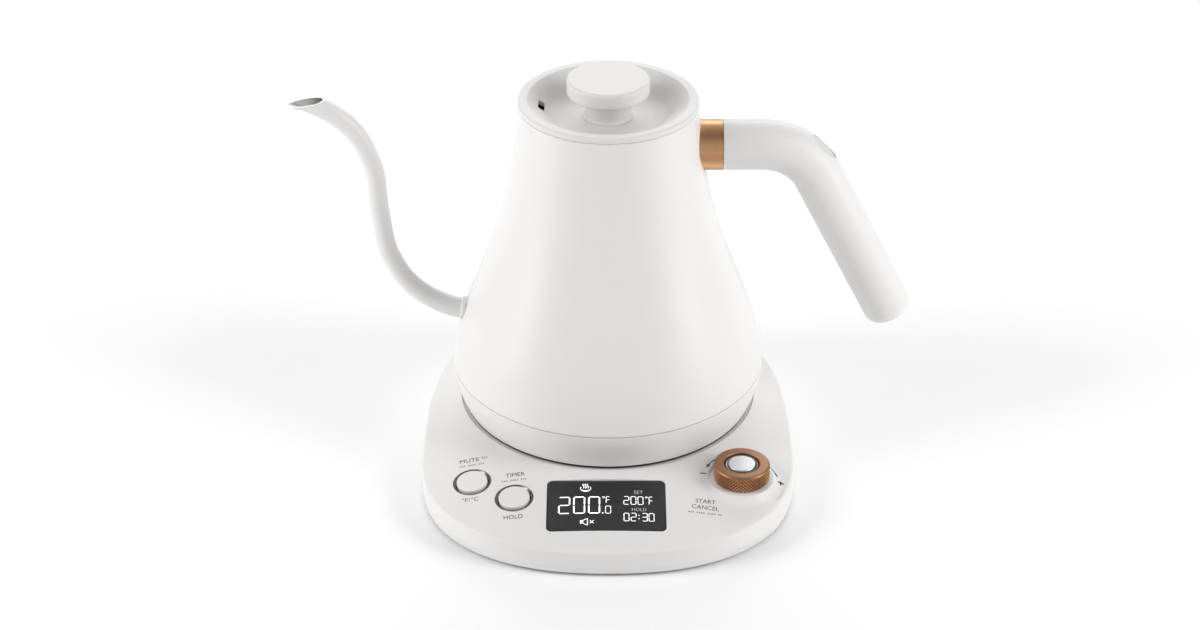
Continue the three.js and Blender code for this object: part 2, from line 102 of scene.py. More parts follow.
# The level seat of the dial, and how far out it flares into the slope
PEDESTAL_TOP = DIAL_LOW[2] - 0.3
PEDESTAL_RADIUS = 14.9
PEDESTAL_FLARE = 5.0
PEDESTAL_REACH = PEDESTAL_RADIUS + PEDESTAL_FLARE

# (height above the groove, radius) up the outside of the body
BODY_KNOTS = [(0, 75), (18, 71.2), (42, 62.8), (66, 54), (90, 47.5), (114, 43.4), (134, 41.75)]


# ---------------------------------------------------------------- node materials


class Nodes:
    """A short way to write a node material."""

    def __init__(self, name):
        self.material = bpy.data.materials.new(name)
        self.material.use_nodes = True
        self.tree = self.material.node_tree
        self.shader = self.tree.nodes["Principled BSDF"]

    def add(self, kind, settings=None, **inputs):
        node = self.tree.nodes.new(kind)
        for key, value in (settings or {}).items():
            setattr(node, key, value)
        for key, value in inputs.items():
            self.feed(node.inputs[key.replace("_", " ")], value)
        return node

    def feed(self, socket, value):
        if isinstance(value, bpy.types.NodeSocket):
            self.tree.links.new(value, socket)
        else:
            socket.default_value = value

    def set(self, **inputs):
        for key, value in inputs.items():
            self.feed(self.shader.inputs[key.replace("_", " ")], value)

    def coords(self, scale=(1, 1, 1)):
        source = self.add("ShaderNodeTexCoord").outputs["Object"]
        return self.add("ShaderNodeMapping", Vector=source, Scale=scale).outputs["Vector"]

    def noise(self, scale, detail=2.0, roughness=0.5, stretch=(1, 1, 1), vector=None):
        vector = vector or self.coords(stretch)
        values = {"Vector": vector, "Scale": scale, "Detail": detail, "Roughness": roughness}
        return self.add("ShaderNodeTexNoise", **values).outputs["Fac"]

    def span(self, value, low, high):
        return self.add("ShaderNodeMapRange", Value=value, To_Min=low, To_Max=high).outputs["Result"]

    def blend(self, factor, first, second):
        node = self.add("ShaderNodeMix", {"data_type": "RGBA"})
        self.feed(node.inputs[0], factor)
        node.inputs[6].default_value = (*first, 1)
        node.inputs[7].default_value = (*second, 1)
        return node.outputs[2]

    def bump(self, height, strength, distance):
        values = {"Height": height, "Strength": strength, "Distance": distance}
        return self.add("ShaderNodeBump", **values).outputs["Normal"]

    def math(self, operation, first, second=0.0):
        node = self.add("ShaderNodeMath", {"operation": operation})
        self.feed(node.inputs[0], first)
        self.feed(node.inputs[1], second)
        return node.outputs[0]

    def polar(self, centre, axes):
        """Angle and radius round a line through centre, and the place along that line."""
        split = self.add("ShaderNodeSeparateXYZ", Vector=self.add("ShaderNodeTexCoord").outputs["Object"])
        first = self.math("SUBTRACT", split.outputs[axes[0]], centre[0] * MM)
        second = self.math("SUBTRACT", split.outputs[axes[1]], centre[1] * MM)
        squares = self.math("ADD", self.math("MULTIPLY", first, first), self.math("MULTIPLY", second, second))
        return self.math("ARCTAN2", second, first), self.math("SQRT", squares), split.outputs[axes[2]]


def white_paint():
    """Satin powder coat: a faint orange peel over a very even warm white."""
    m = Nodes("white_paint")
    m.set(Base_Color=m.blend(m.noise(9.0, 3.0), (0.734, 0.722, 0.715), (0.768, 0.758, 0.752)))
    m.set(Roughness=m.span(m.noise(60.0, 4.0), 0.36, 0.44))
    m.set(Normal=m.bump(m.noise(900.0, 2.0), 0.10, 0.00012))
    m.set(Coat_Weight=0.12, Coat_Roughness=0.3)
    return m.material


def white_plastic(name="white_plastic", level=1.0):
    """Moulded white plastic with a fine spark-eroded grain."""
    m = Nodes(name)
    dark = [level * value for value in (0.744, 0.732, 0.725)]
    light = [level * value for value in (0.778, 0.768, 0.760)]
    m.set(Base_Color=m.blend(m.noise(12.0, 3.0), dark, light))
    m.set(Roughness=m.span(m.noise(80.0, 4.0), 0.42, 0.5))
    m.set(Normal=m.bump(m.noise(2600.0, 2.0, 0.6), 0.16, 0.00006))
    m.set(Specular_IOR_Level=0.45)
    return m.material


def grained(name, dark, light, roughness, grain, relief, tone=None):
    """A moulded material: fine noise sets its gloss and relief, and its tone unless tone is given."""
    m = Nodes(name)
    fine = m.noise(*grain)
    m.set(Base_Color=m.blend(m.noise(*tone) if tone else fine, dark, light))
    m.set(Roughness=m.span(fine, *roughness))
    m.set(Normal=m.bump(fine, *relief))
    return m.material


def thumb_grey():
    colours = (0.60, 0.60, 0.59), (0.66, 0.66, 0.65)
    return grained("thumb_grey", *colours, (0.5, 0.62), (1800.0, 3.0, 0.6), (0.25, 0.0001), tone=(25.0, 2.0))


def dark_plastic():
    colours = (0.012, 0.012, 0.013), (0.022, 0.022, 0.023)
    grain = (1500.0, 3.0, 0.6)
    return grained("dark_plastic", *colours, (0.42, 0.58), grain, (0.2, 0.0001), tone=(40.0, 2.0))


def smoked_bezel():
    """The dark, half-polished rings round the two buttons."""
    m = Nodes("smoked_bezel")
    m.set(Base_Color=m.blend(m.noise(150.0, 2.0), (0.16, 0.147, 0.135), (0.22, 0.205, 0.19)))
    m.set(Roughness=m.span(m.noise(400.0, 3.0), 0.22, 0.32), Metallic=1.0)
    return m.material


def turned_metal(name, dark, light, roughness, centre, axes="XYZ", reflection_bands=0):
    """Metal with fine rings left by turning, and broad bands of painted reflection if reflection bands are
    asked for.

    It is turned about the last of axes, on a line whose other two places are centre.
    """
    m = Nodes(name)
    pitch = 1800.0
    angle, radius, along = m.polar(centre, axes)
    places = [m.math("MULTIPLY", *pair) for pair in ((radius, pitch), (along, pitch), (angle, 1.2))]
    rings = m.add("ShaderNodeCombineXYZ", **dict(zip("XYZ", places)))
    lines = m.noise(1.0, 4.0, 0.65, vector=rings.outputs["Vector"])
    tone = lines
    # Painted reflection: light and dark copper bands round the axis stand in for the reflections of the
    # studio lights.
    if reflection_bands:
        wave = m.math("COSINE", m.math("SUBTRACT", m.math("MULTIPLY", angle, reflection_bands), 0.45))
        level = m.math("ADD", m.math("MULTIPLY", wave, 0.36), 0.36)
        tone = m.math("ADD", m.math("MULTIPLY", lines, 0.28), level)
    m.set(Base_Color=m.blend(tone, dark, light), Metallic=1.0)
    m.set(Roughness=m.span(lines, roughness - 0.05, roughness + 0.08))
    m.set(Normal=m.bump(lines, 0.35, 0.00002))
    return m.material


def collar_copper(centre):
    # The seven bands round the collar are painted reflections of the lights, laid over the real turning
    # rings.
    colours = (0.40, 0.20, 0.10), (0.86, 0.50, 0.27)
    return turned_metal("collar_copper", *colours, 0.36, centre, "YZX", reflection_bands=7.0)


def dial_copper(centre):
    return turned_metal("dial_copper", (0.27, 0.145, 0.082), (0.37, 0.205, 0.12), 0.46, centre)


def knurled_copper():
    # Painted shade: the knurled band gets copper tones darker than the dial's top, standing in for the shade
    # in its grooves; the noise mottles them at random.
    m = Nodes("knurled_copper")
    knurl_mottle = m.noise(700.0, 3.0)
    m.set(Base_Color=m.blend(knurl_mottle, (0.21, 0.10, 0.047), (0.36, 0.18, 0.092)))
    m.set(Roughness=m.span(knurl_mottle, 0.38, 0.5), Metallic=1.0)
    return m.material


def sunray_silver(centre):
    """Bright metal brushed outwards from its centre."""
    m = Nodes("sunray_silver")
    angle = m.polar(centre, "XYZ")[0]
    places = [m.math("MULTIPLY", m.math(wave, angle), 9.0) for wave in ("SINE", "COSINE")]
    rays = m.add("ShaderNodeCombineXYZ", **dict(zip("XY", places)))
    lines = m.noise(1.0, 6.0, 0.7, vector=rays.outputs["Vector"])
    m.set(Base_Color=m.blend(lines, (0.50, 0.51, 0.52), (0.74, 0.74, 0.74)), Metallic=0.9)
    m.set(Roughness=m.span(lines, 0.34, 0.52))
    m.set(Normal=m.bump(lines, 0.5, 0.00006))
    return m.material


def plain_metal(name, dark, light, roughness):
    m = Nodes(name)
    lines = m.noise(1500.0, 4.0, 0.6, stretch=(1, 0.06, 0.06))
    m.set(Base_Color=m.blend(lines, dark, light), Metallic=1.0)
    m.set(Roughness=m.span(lines, roughness - 0.05, roughness + 0.1))
    m.set(Normal=m.bump(lines, 0.2, 0.00003))
    return m.material


def rubber(name, dark, light):
    return grained(name, dark, light, (0.62, 0.82), (1200.0, 4.0, 0.7), (0.3, 0.0001))


def display_gloss():
    """The smoked window over the display, with faint smudges in its gloss."""
    m = Nodes("display_gloss")
    smudge = m.noise(45.0, 5.0, 0.6)
    m.set(Base_Color=m.blend(smudge, (0.004, 0.0042, 0.0044), (0.007, 0.0072, 0.0074)))
    m.set(Roughness=m.span(smudge, 0.07, 0.13), Coat_Weight=0.3, Coat_Roughness=0.05)
    return m.material


def lit_segment():
    m = Nodes("lit_segment")
    glow = m.blend(m.noise(500.0, 2.0), (0.93, 0.95, 0.96), (1.0, 1.0, 1.0))
    m.set(Base_Color=glow, Emission_Color=glow, Emission_Strength=0.85, Roughness=0.5)
    return m.material


def printed_ink(name, dark, light):
    m = Nodes(name)
    m.set(Base_Color=m.blend(m.noise(3000.0, 3.0), dark, light))
    m.set(Roughness=m.span(m.noise(900.0, 2.0), 0.5, 0.65))
    return m.material


def circuit_board():
    m = Nodes("circuit_board")
    cells = {"distance": "CHEBYCHEV", "feature": "DISTANCE_TO_EDGE"}
    traces = m.add("ShaderNodeTexVoronoi", cells, Vector=m.coords(), Scale=420.0)
    edge = m.math("LESS_THAN", traces.outputs["Distance"], 0.07)
    m.set(Base_Color=m.blend(edge, (0.015, 0.10, 0.045), (0.03, 0.17, 0.08)))
    m.set(Roughness=m.span(m.noise(300.0, 2.0), 0.3, 0.42))
    return m.material


def component_black():
    colours = (0.03, 0.033, 0.036), (0.055, 0.06, 0.065)
    return grained("component_black", *colours, (0.4, 0.6), (900.0, 3.0), (0.15, 0.0001))


WHITE_PAINT = white_paint()
WHITE_PLASTIC = white_plastic()
LID_PLASTIC = white_plastic("lid_plastic", 0.93)
DARK_PLASTIC = dark_plastic()
STEEL = plain_metal("steel", (0.52, 0.53, 0.54), (0.70, 0.71, 0.72), 0.28)
SATIN_STEEL = plain_metal("satin_steel", (0.66, 0.66, 0.65), (0.78, 0.78, 0.77), 0.48)
ALUMINIUM = plain_metal("aluminium", (0.60, 0.61, 0.62), (0.76, 0.77, 0.78), 0.36)
BRASS = plain_metal("brass", (0.60, 0.43, 0.15), (0.74, 0.55, 0.22), 0.26)
SILICONE = rubber("silicone", (0.55, 0.55, 0.54), (0.66, 0.66, 0.65))
RUBBER = rubber("rubber", (0.018, 0.018, 0.018), (0.032, 0.032, 0.032))
BEZEL = smoked_bezel()
DISPLAY = display_gloss()
INK = printed_ink("printed_ink", (0.035, 0.035, 0.037), (0.07, 0.07, 0.072))
FINE_INK = printed_ink("fine_ink", (0.24, 0.24, 0.24), (0.32, 0.32, 0.32))
LIT = lit_segment()
LIT_DIM = printed_ink("lit_caption", (0.50, 0.51, 0.52), (0.58, 0.59, 0.60))


# ---------------------------------------------------------------- mesh helpers


def corner(points, radii, steps):
    """Rounds the corners of an open outline. radii has one radius, in mm, for each point."""
    made = []
    for i, (point, radius) in enumerate(zip(points, radii)):
        p = np.array(point, float)
        if radius == 0 or i in (0, len(points) - 1):
            made.append(tuple(p))
            continue
        before = np.array(points[i - 1], float) - p
        after = np.array(points[i + 1], float) - p
        a = before / np.linalg.norm(before)
        b = after / np.linalg.norm(after)
        half = math.acos(np.clip(a @ b, -1, 1)) / 2
        reach = min(radius / math.tan(half), np.linalg.norm(before) * 0.49, np.linalg.norm(after) * 0.49)
        actual = reach * math.tan(half)
        middle = p + (a + b) / np.linalg.norm(a + b) * actual / math.sin(half)
        start = p + a * reach - middle
        end = p + b * reach - middle
        turn = math.atan2(start[0] * end[1] - start[1] * end[0], start @ end)
        for k in range(steps + 1):
            t = turn * k / steps
            c, s = math.cos(t), math.sin(t)
            made.append(tuple(middle + (start[0] * c - start[1] * s, start[0] * s + start[1] * c)))
    return made


def spline(knots, samples):
    """Catmull-Rom curve through (position, value) knots, sampled evenly along each span."""
    x = np.array([k[0] for k in knots], float)
    y = np.array([k[1] for k in knots], float)
    slope = np.gradient(y, x)
    made = []
    for i in range(len(x) - 1):
        width = x[i + 1] - x[i]
        last = i == len(x) - 2
        for t in np.linspace(0, 1, samples + 1)[: None if last else -1]:
            h = (2 * t**3 - 3 * t**2 + 1) * y[i] + (t**3 - 2 * t**2 + t) * width * slope[i]
            h += (3 * t**2 - 2 * t**3) * y[i + 1] + (t**3 - t**2) * width * slope[i + 1]
            made.append((x[i] + t * width, h))
    return made


def in_scene(name, data):
    made = bpy.data.objects.new(name, data)
    bpy.context.scene.collection.objects.link(made)
    return made


def finish_mesh(name, verts, faces, material, sharp=32.0, offset=AXIS):
    """A smooth-shaded piece, with edges steeper than sharp degrees kept sharp."""
    mesh = bpy.data.meshes.new(name)
    mesh.from_pydata([tuple((np.array(v) + offset) * MM) for v in verts], [], faces)
    mesh.validate()
    work = bmesh.new()
    work.from_mesh(mesh)
    bmesh.ops.remove_doubles(work, verts=work.verts, dist=1e-7)
    bmesh.ops.recalc_face_normals(work, faces=work.faces)
    work.to_mesh(mesh)
    work.free()
    mesh.polygons.foreach_set("use_smooth", [True] * len(mesh.polygons))
    mesh.set_sharp_from_angle(angle=math.radians(sharp))
    mesh.materials.append(material)
    return in_scene(name, mesh)


def even_normals(piece):
    modifier = piece.modifiers.new("even_normals", "WEIGHTED_NORMAL")
    modifier.keep_sharp = True


def ride(piece, body, replaces=()):
    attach(piece, body)
    if replaces:
        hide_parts(*replaces)


def rings_to_faces(rings, count, ends_meet):
    """Quads between neighbouring rings of count vertices each."""
    faces = []
    for i in range(rings if ends_meet else rings - 1):
        a = i * count
        b = (i + 1) % rings * count
        for j in range(count):
            k = (j + 1) % count
            faces.append((a + j, a + k, b + k, b + j))
    return faces


def capped_faces(rings, count):
    """Quads between rings, and one flat face over the first and the last ring."""
    faces = rings_to_faces(rings, count, False)
    return [*faces, tuple(range(count)), tuple(range((rings - 1) * count, rings * count))]


def round_the_axis(rows, segments):
    """Vertices of rows of (radius, height), where each row has one pair for each segment."""
    verts = []
    for row in rows:
        for j, (r, z) in enumerate(row):
            angle = 2 * math.pi * j / segments
            verts.append((r * math.sin(angle), -r * math.cos(angle), z))
    return verts


def lathe(name, profile, material, segments, ends_meet=False, **options):
    """Turns (radius, height) points about the kettle axis."""
    verts = round_the_axis([[point] * segments for point in profile], segments)
    faces = rings_to_faces(len(profile), segments, ends_meet)
    return finish_mesh(name, verts, faces, material, **options)


def ring(name, points, radii, steps, material, segments, **options):
    """A lathe round a closed outline, whose first and last points are the same place."""
    return lathe(name, corner(points, radii, steps)[:-1], material, segments, ends_meet=True, **options)


def loft(name, profile_at, material, segments, capped=False):
    """A band, or a capped block, whose (radius, height) profile changes with the angle from the front."""
    columns = [profile_at(2 * math.pi * j / segments) for j in range(segments)]
    rows = list(zip(*columns))
    faces = capped_faces(len(rows), segments) if capped else rings_to_faces(len(rows), segments, True)
    return finish_mesh(name, round_the_axis(rows, segments), faces, material)


def sweep(name, stations, material, segments, ends_meet=False):
    """Rings across a line in the XZ plane: each station is (x, z, slope angle, radius)."""
    verts = []
    for x, z, angle, radius in stations:
        for j in range(segments):
            t = 2 * math.pi * j / segments
            across = radius * math.cos(t)
            verts.append((x - math.sin(angle) * across, radius * math.sin(t), z + math.cos(angle) * across))
    return finish_mesh(name, verts, rings_to_faces(len(stations), segments, ends_meet), material)


def carve(piece, *tools):
    """Cuts tools out of a piece for good, and removes them."""
    for tool in tools:
        modifier = piece.modifiers.new("carve", "BOOLEAN")
        modifier.operation = "DIFFERENCE"
        modifier.solver = "EXACT"
        modifier.object = tool
    apply_modifiers(piece)
    for tool in tools:
        bpy.data.objects.remove(tool)


def apply_modifiers(piece):
    bpy.context.view_layer.update()
    graph = bpy.context.evaluated_depsgraph_get()
    mesh = bpy.data.meshes.new_from_object(piece.evaluated_get(graph))
    piece.modifiers.clear()
    piece.data = mesh


def soften(piece, width, angle=40.0):
    """Rounds sharp edges, so that no edge of the piece is a knife edge."""
    bevel = piece.modifiers.new("soften", "BEVEL")
    bevel.width = width * MM
    bevel.segments = 2
    bevel.limit_method = "ANGLE"
    bevel.angle_limit = math.radians(angle)
    bevel.use_clamp_overlap = True
    even_normals(piece)


def placed(x, y, z):
    """The move from zero to a place about the kettle's axis."""
    return Matrix.Translation((Vector((x, y, z)) + Vector(AXIS)) * MM)


def peg(radius, low, high, place, segments=64):
    """A plain round cutter along the Z of its place."""
    profile = [(0, low), (radius, low), (radius, high), (0, high)]
    tool = lathe("cutter", profile, WHITE_PLASTIC, segments, offset=ZERO)
    tool.matrix_world = place
    return tool


def prism(outline, low, high, offset=AXIS):
    """A cutter with a flat outline, from one height to another."""
    verts = [(x, y, z) for z in (low, high) for x, y in outline]
    return finish_mesh("cutter", verts, capped_faces(2, len(outline)), WHITE_PLASTIC, offset=offset)


def circle_points(centre, radius, angles):
    return [(centre[0] + radius * math.cos(t), centre[1] + radius * math.sin(t)) for t in angles]


def rounded_rectangle(low, high, rounding, count):
    """Points round a rectangle, with count points in each of its rounded corners."""
    made = []
    for right, behind, first in ((1, 1, 0), (0, 1, 90), (0, 0, 180), (1, 0, 270)):
        cx = high[0] - rounding if right else low[0] + rounding
        cy = high[1] - rounding if behind else low[1] + rounding
        made += circle_points((cx, cy), rounding, np.radians(np.linspace(first, first + 90, count)))
    return made


# ---------------------------------------------------------------- base surface


def outline_radius(angle):
    """Radius of the base's outline from the kettle axis, at an angle from the front."""
    side, ahead = abs(math.sin(angle)), math.cos(angle)
    low, high = 50.0, 160.0
    for _ in range(40):
        r = (low + high) / 2
        y = -r * ahead - WAIST_Y
        depth, power = (FRONT_DEPTH, FRONT_POWER) if y < 0 else (BACK_DEPTH, BACK_POWER)
        inside = (r * side / BASE_HALF_WIDTH) ** power + (abs(y) / depth) ** power < 1
        low, high = (r, high) if inside else (low, r)
    return low


def top_z(r):
    return TOP_Z - TOP_SLOPE * (r - SEAT_RADIUS)


def top_at(x, y):
    return top_z(math.hypot(x, y))


def on_top(x, y):
    """The turn that stands a piece square on the sloping top at (x, y), about that point."""
    normal = Vector((x, y, 0)).normalized() * TOP_SLOPE + Vector((0, 0, 1))
    turn = Vector((0, 0, 1)).rotation_difference(normal).to_matrix().to_4x4()
    place = Vector((AXIS[0] + x, AXIS[1] + y, top_at(x, y))) * MM
    return Matrix.Translation(place) @ turn


# ---------------------------------------------------------------- kettle body


def body_outline(offset=0.0):
    """(radius, height) up the outside of the body, moved outwards by offset."""
    points = [(r + offset, GROOVE_Z + z) for z, r in spline(BODY_KNOTS, 8)]
    points[0] = (points[0][0], GROOVE_Z - 0.08)
    points[-1] = (points[-1][0], NECK_Z + 0.06)
    return points


def body_cutter():
    outline = body_outline()
    profile = [(0, GROOVE_Z), *outline, (0, NECK_Z)]
    return lathe("cutter", profile, WHITE_PAINT, 192)


def make_body():
    wall = 1.2
    outer = body_outline()
    inner = body_outline(-wall)[::-1]
    rim = corner([outer[-2], outer[-1], inner[0], inner[1]], [0, 0.5, 0.5, 0], 5)
    foot = corner([inner[-2], inner[-1], outer[0], outer[1]], [0, 0.4, 0.5, 0], 5)
    profile = [*foot[1:-1], *outer[1:-1], *rim[1:-1], *inner[1:-1]]
    body = lathe("kettle_body", profile, WHITE_PAINT, 192, ends_meet=True)
    spout_way = placed(-55, 0, 67.6) @ Matrix.Rotation(-math.pi / 2, 4, "Y")
    carve(body, peg(4.1, 0, 30, spout_way))
    body.data.materials.append(STEEL)
    radii, heights = zip(*outer)
    for face in body.data.polygons:
        middle = face.center / MM - Vector(AXIS)
        if middle.xy.length < np.interp(middle.z, heights, radii) - wall * 0.6:
            face.material_index = 1
    ride(body, "kettle", ["body_shell"])


def make_skirt():
    outer = [(r, z) for z, r in spline([(23.9, 70.2), (31, 72.9), (38, 74.6), (42.7, 75.0)], 8)]
    top = corner([outer[-2], outer[-1], (73, 42.7), (72.6, 38)], [0, 0.5, 0.3, 0], 5)
    bottom = corner([(68.2, 26.3), (68.2, 23.9), outer[0], outer[1]], [0, 0.3, 0.5, 0], 5)
    inside = [(70.9, 31), (69.4, 28.6), (60, 28.6), (60, 26.3)]
    profile = [*bottom[:-1], *outer[1:-1], *top[1:], *inside]
    skirt = lathe("skirt", profile, WHITE_PAINT, 192, ends_meet=True)
    ride(skirt, "kettle", ["skirt_ring"])


def make_bottom_cover():
    points = [
        (64, 24.2), (60.5, 22.7), (69.9, 22.7), (69.9, 23.6), (67.9, 23.6),
        (67.9, 26), (20.3, 26), (20.3, 24.2), (59, 24.2), (60.5, 22.7),
    ]
    radii = [0, 0.4, 0.35, 0.2, 0.1, 0.3, 0.3, 0.4, 0.6, 0]
    profile = corner(points, radii, 4)[1:-1]
    cover = lathe("kettle_underside", profile, DARK_PLASTIC, 160, ends_meet=True)
    ride(cover, "kettle", ["kettle_bottom_cover"])


def make_coupling():
    points = [
        (0, 32), (17.8, 32), (17.8, 24), (19.9, 24), (19.9, 26.3), (24, 26.3),
        (24, 28.3), (21, 28.3), (21, 34.5), (0, 34.5),
    ]
    profile = corner(points, [0, 0.6, 0.5, 0.4, 0.1, 0.3, 0.3, 0.3, 0.6, 0], 4)
    coupling = lathe("coupling_socket", profile, DARK_PLASTIC, 96)
    ride(coupling, "coupling", ["kettle_coupling"])


# ---------------------------------------------------------------- spout

# (x, height) along the middle of the spout, from inside the body to past the lip
SPOUT_ROUTE = [
    (-60, 67), (-75.6, 69.8), (-94.2, 82), (-103.3, 98), (-107.3, 121),
    (-109.5, 145), (-118.5, 164.5), (-135, 176.7), (-153, 181.9),
]
SPOUT_LIP = (-147.3, 176.15)
SPOUT_LIP_ANGLE = math.radians(9.5)

# Radius at the body, wall, and the distances along the route at which the tube starts and its
# root ring ends
SPOUT_ROOT = 4.95
SPOUT_WALL = 0.6
SPOUT_START = 6
ROOT_RING_END = 10.2


def smooth_step(value, low, high):
    t = min(max((value - low) / (high - low), 0), 1)
    return t * t * (3 - 2 * t)


def spout_line():
    """Points (x, z, slope angle, distance), a millimetre apart along the spout."""
    points = np.array(SPOUT_ROUTE, float)
    knots = np.concatenate([[0], np.cumsum(np.hypot(*np.diff(points, axis=0).T))])
    xs = np.array(spline(list(zip(knots, points[:, 0])), 24))[:, 1]
    zs = np.array(spline(list(zip(knots, points[:, 1])), 24))[:, 1]
    along = np.concatenate([[0], np.cumsum(np.hypot(np.diff(xs), np.diff(zs)))])
    even = np.linspace(0, along[-1], int(along[-1]) + 1)
    x = np.interp(even, along, xs)
    z = np.interp(even, along, zs)
    angle = np.arctan2(np.gradient(z, even), np.gradient(x, even))
    return list(zip(x, z, np.unwrap(angle), even))


def spout_radius(s):
    return SPOUT_ROOT - 0.3 * smooth_step(s, 8, 48)


def make_spout():
    line = [p for p in spout_line() if p[3] >= SPOUT_START]
    outer = [(x, z, a, spout_radius(s)) for x, z, a, s in line]
    inner = [(x, z, a, radius - SPOUT_WALL) for x, z, a, radius in outer[::-1]]
    spout = sweep("spout", outer + inner, WHITE_PAINT, 64, ends_meet=True)
    bpy.ops.mesh.primitive_cube_add(size=1)
    above_lip = bpy.context.object
    turn = Matrix.Rotation(-SPOUT_LIP_ANGLE, 4, "Y")
    upwards = Matrix.Translation((0, 0, 0.015)) @ Matrix.Diagonal((0.06, 0.03, 0.03, 1))
    above_lip.matrix_world = placed(SPOUT_LIP[0], 0, SPOUT_LIP[1]) @ turn @ upwards
    carve(spout, above_lip, body_cutter())
    spout.data.materials.append(SATIN_STEEL)
    lining = 0.35
    middles = np.array([(x, z) for x, z, *_ in outer])
    for face in spout.data.polygons:
        place = face.center / MM - Vector(AXIS)
        gaps = np.hypot(middles[:, 0] - place.x, middles[:, 1] - place.z)
        nearest = int(np.argmin(gaps))
        if math.hypot(gaps[nearest], place.y) < outer[nearest][3] - lining:
            face.material_index = 1
    soften(spout, 0.22)
    ride(spout, "kettle", ["spout_tube"])
    make_spout_collar(line)


def make_spout_collar(line):
    """The small rounded ring where the spout meets the body."""
    rounding = 0.7
    root = [p for p in line if p[3] <= ROOT_RING_END]
    stations = [(x, z, a, SPOUT_ROOT + rounding) for x, z, a, _ in root]
    x, z, a, _ = root[-1]
    for t in np.radians(np.linspace(15, 90, 6)):
        push = rounding * math.sin(t)
        radius = SPOUT_ROOT + rounding * math.cos(t)
        stations.append((x + math.cos(a) * push, z + math.sin(a) * push, a, radius))
    bore = [(x, z, a, SPOUT_ROOT - 0.1) for x, z, a, _ in stations[::-1]]
    collar = sweep("spout_root_ring", stations + bore, WHITE_PAINT, 64, ends_meet=True)
    carve(collar, body_cutter())
    even_normals(collar)
    ride(collar, "kettle")


# ---------------------------------------------------------------- handle

BEND_X = 71.7
BEND_RADIUS = 29.5
BEND_ANGLE = math.radians(62.6)
ROOT_LENGTH = BEND_X - GRIP_X
BEND_LENGTH = BEND_RADIUS * BEND_ANGLE
LEG_LENGTH = 83.5
END_ROUNDING = 5.5
END_CROWN = 0.8
SEAM = 0.08

# The thumb rest: its place along the bend, half length, half width and height from the middle line
THUMB_ALONG = 23
THUMB_LENGTH = 7.8
THUMB_WIDTH = 5.2
THUMB_TOP = 10.4


def handle_point(s):
    """(x, z, slope angle) at a distance s along the handle from the end of its collar."""
    angle = min(max((s - ROOT_LENGTH) / BEND_RADIUS, 0), BEND_ANGLE)
    leg = max(0, s - ROOT_LENGTH - BEND_LENGTH)
    x = GRIP_X + min(s, ROOT_LENGTH) + BEND_RADIUS * math.sin(angle) + leg * math.cos(angle)
    z = HANDLE_Z - BEND_RADIUS * (1 - math.cos(angle)) - leg * math.sin(angle)
    return x, z, -angle


def handle_station(s, radius):
    return (*handle_point(s), radius)


def thumb_frame():
    x, z, angle = handle_point(ROOT_LENGTH + THUMB_ALONG)
    return placed(x, 0, z) @ Matrix.Rotation(-angle, 4, "Y")


def oval_block(name, margin, low, high, material):
    """An oval block standing square to the outside of the handle's bend."""
    count = 96
    verts = []
    for scale, z in ((0, low), (1, low), (1, high), (0, high)):
        for j in range(count):
            t = 2 * math.pi * j / count
            x = (THUMB_LENGTH + margin) * scale * math.cos(t)
            verts.append((x, (THUMB_WIDTH + margin) * scale * math.sin(t), z))
    block = finish_mesh(name, verts, rings_to_faces(4, count, False), material, offset=ZERO)
    block.matrix_world = thumb_frame()
    return block


def rounded_edge(start, radius, rounding):
    """Handle stations that turn a square end at start into a small rounded edge."""
    made = []
    for t in np.radians(np.linspace(0, 90, 5)):
        along = start + rounding * (1 - math.cos(t))
        made.append(handle_station(along, radius - rounding * (1 - math.sin(t))))
    return made


def make_handle():
    end = ROOT_LENGTH + BEND_LENGTH + LEG_LENGTH
    stations = [handle_station(-SEAM, 0), handle_station(-SEAM, 7.8)]
    stations += rounded_edge(-SEAM, HANDLE_RADIUS, 0.15)
    stations += [handle_station(s, HANDLE_RADIUS) for s in np.linspace(0.8, end - END_ROUNDING, 120)]
    for t in np.radians(np.linspace(7.5, 90, 12)):
        radius = HANDLE_RADIUS - END_ROUNDING * (1 - math.cos(t))
        stations.append(handle_station(end - END_ROUNDING * (1 - math.sin(t)), radius))
    for share in (0.75, 0.5, 0.25, 0.0):
        crown = END_CROWN * (1 - share * share)
        stations.append(handle_station(end + crown, (HANDLE_RADIUS - END_ROUNDING) * share))
    grip = sweep("handle_grip_shell", stations, WHITE_PLASTIC, 96)
    carve(grip, oval_block("cutter", 0.12, THUMB_TOP - 1.4, 30, WHITE_PLASTIC))
    soften(grip, 0.18, 35.0)
    ride(grip, "kettle", ["handle_grip"])
    rest = oval_block("thumb_facet", 0.0, THUMB_TOP - 1.3, THUMB_TOP, thumb_grey())
    soften(rest, 0.15)
    ride(rest, "kettle", ["thumb_rest"])


def make_handle_collar():
    end = COLLAR_END + SEAM
    stations = [(x, HANDLE_Z, 0.0, HANDLE_RADIUS) for x in (36, 39, 42, 45, 48, 51, COLLAR_END)]
    stations += [(x, HANDLE_Z, 0.0, r) for x, r in ((end, HANDLE_RADIUS - 0.1), (end, 7.9), (36, 7.9))]
    metal = collar_copper((AXIS[1], HANDLE_Z))
    collar = sweep("handle_collar_ring", stations, metal, 128, ends_meet=True)
    carve(collar, body_cutter())
    soften(collar, 0.12, 50.0)
    ride(collar, "kettle", ["handle_collar"])


# ---------------------------------------------------------------- lid


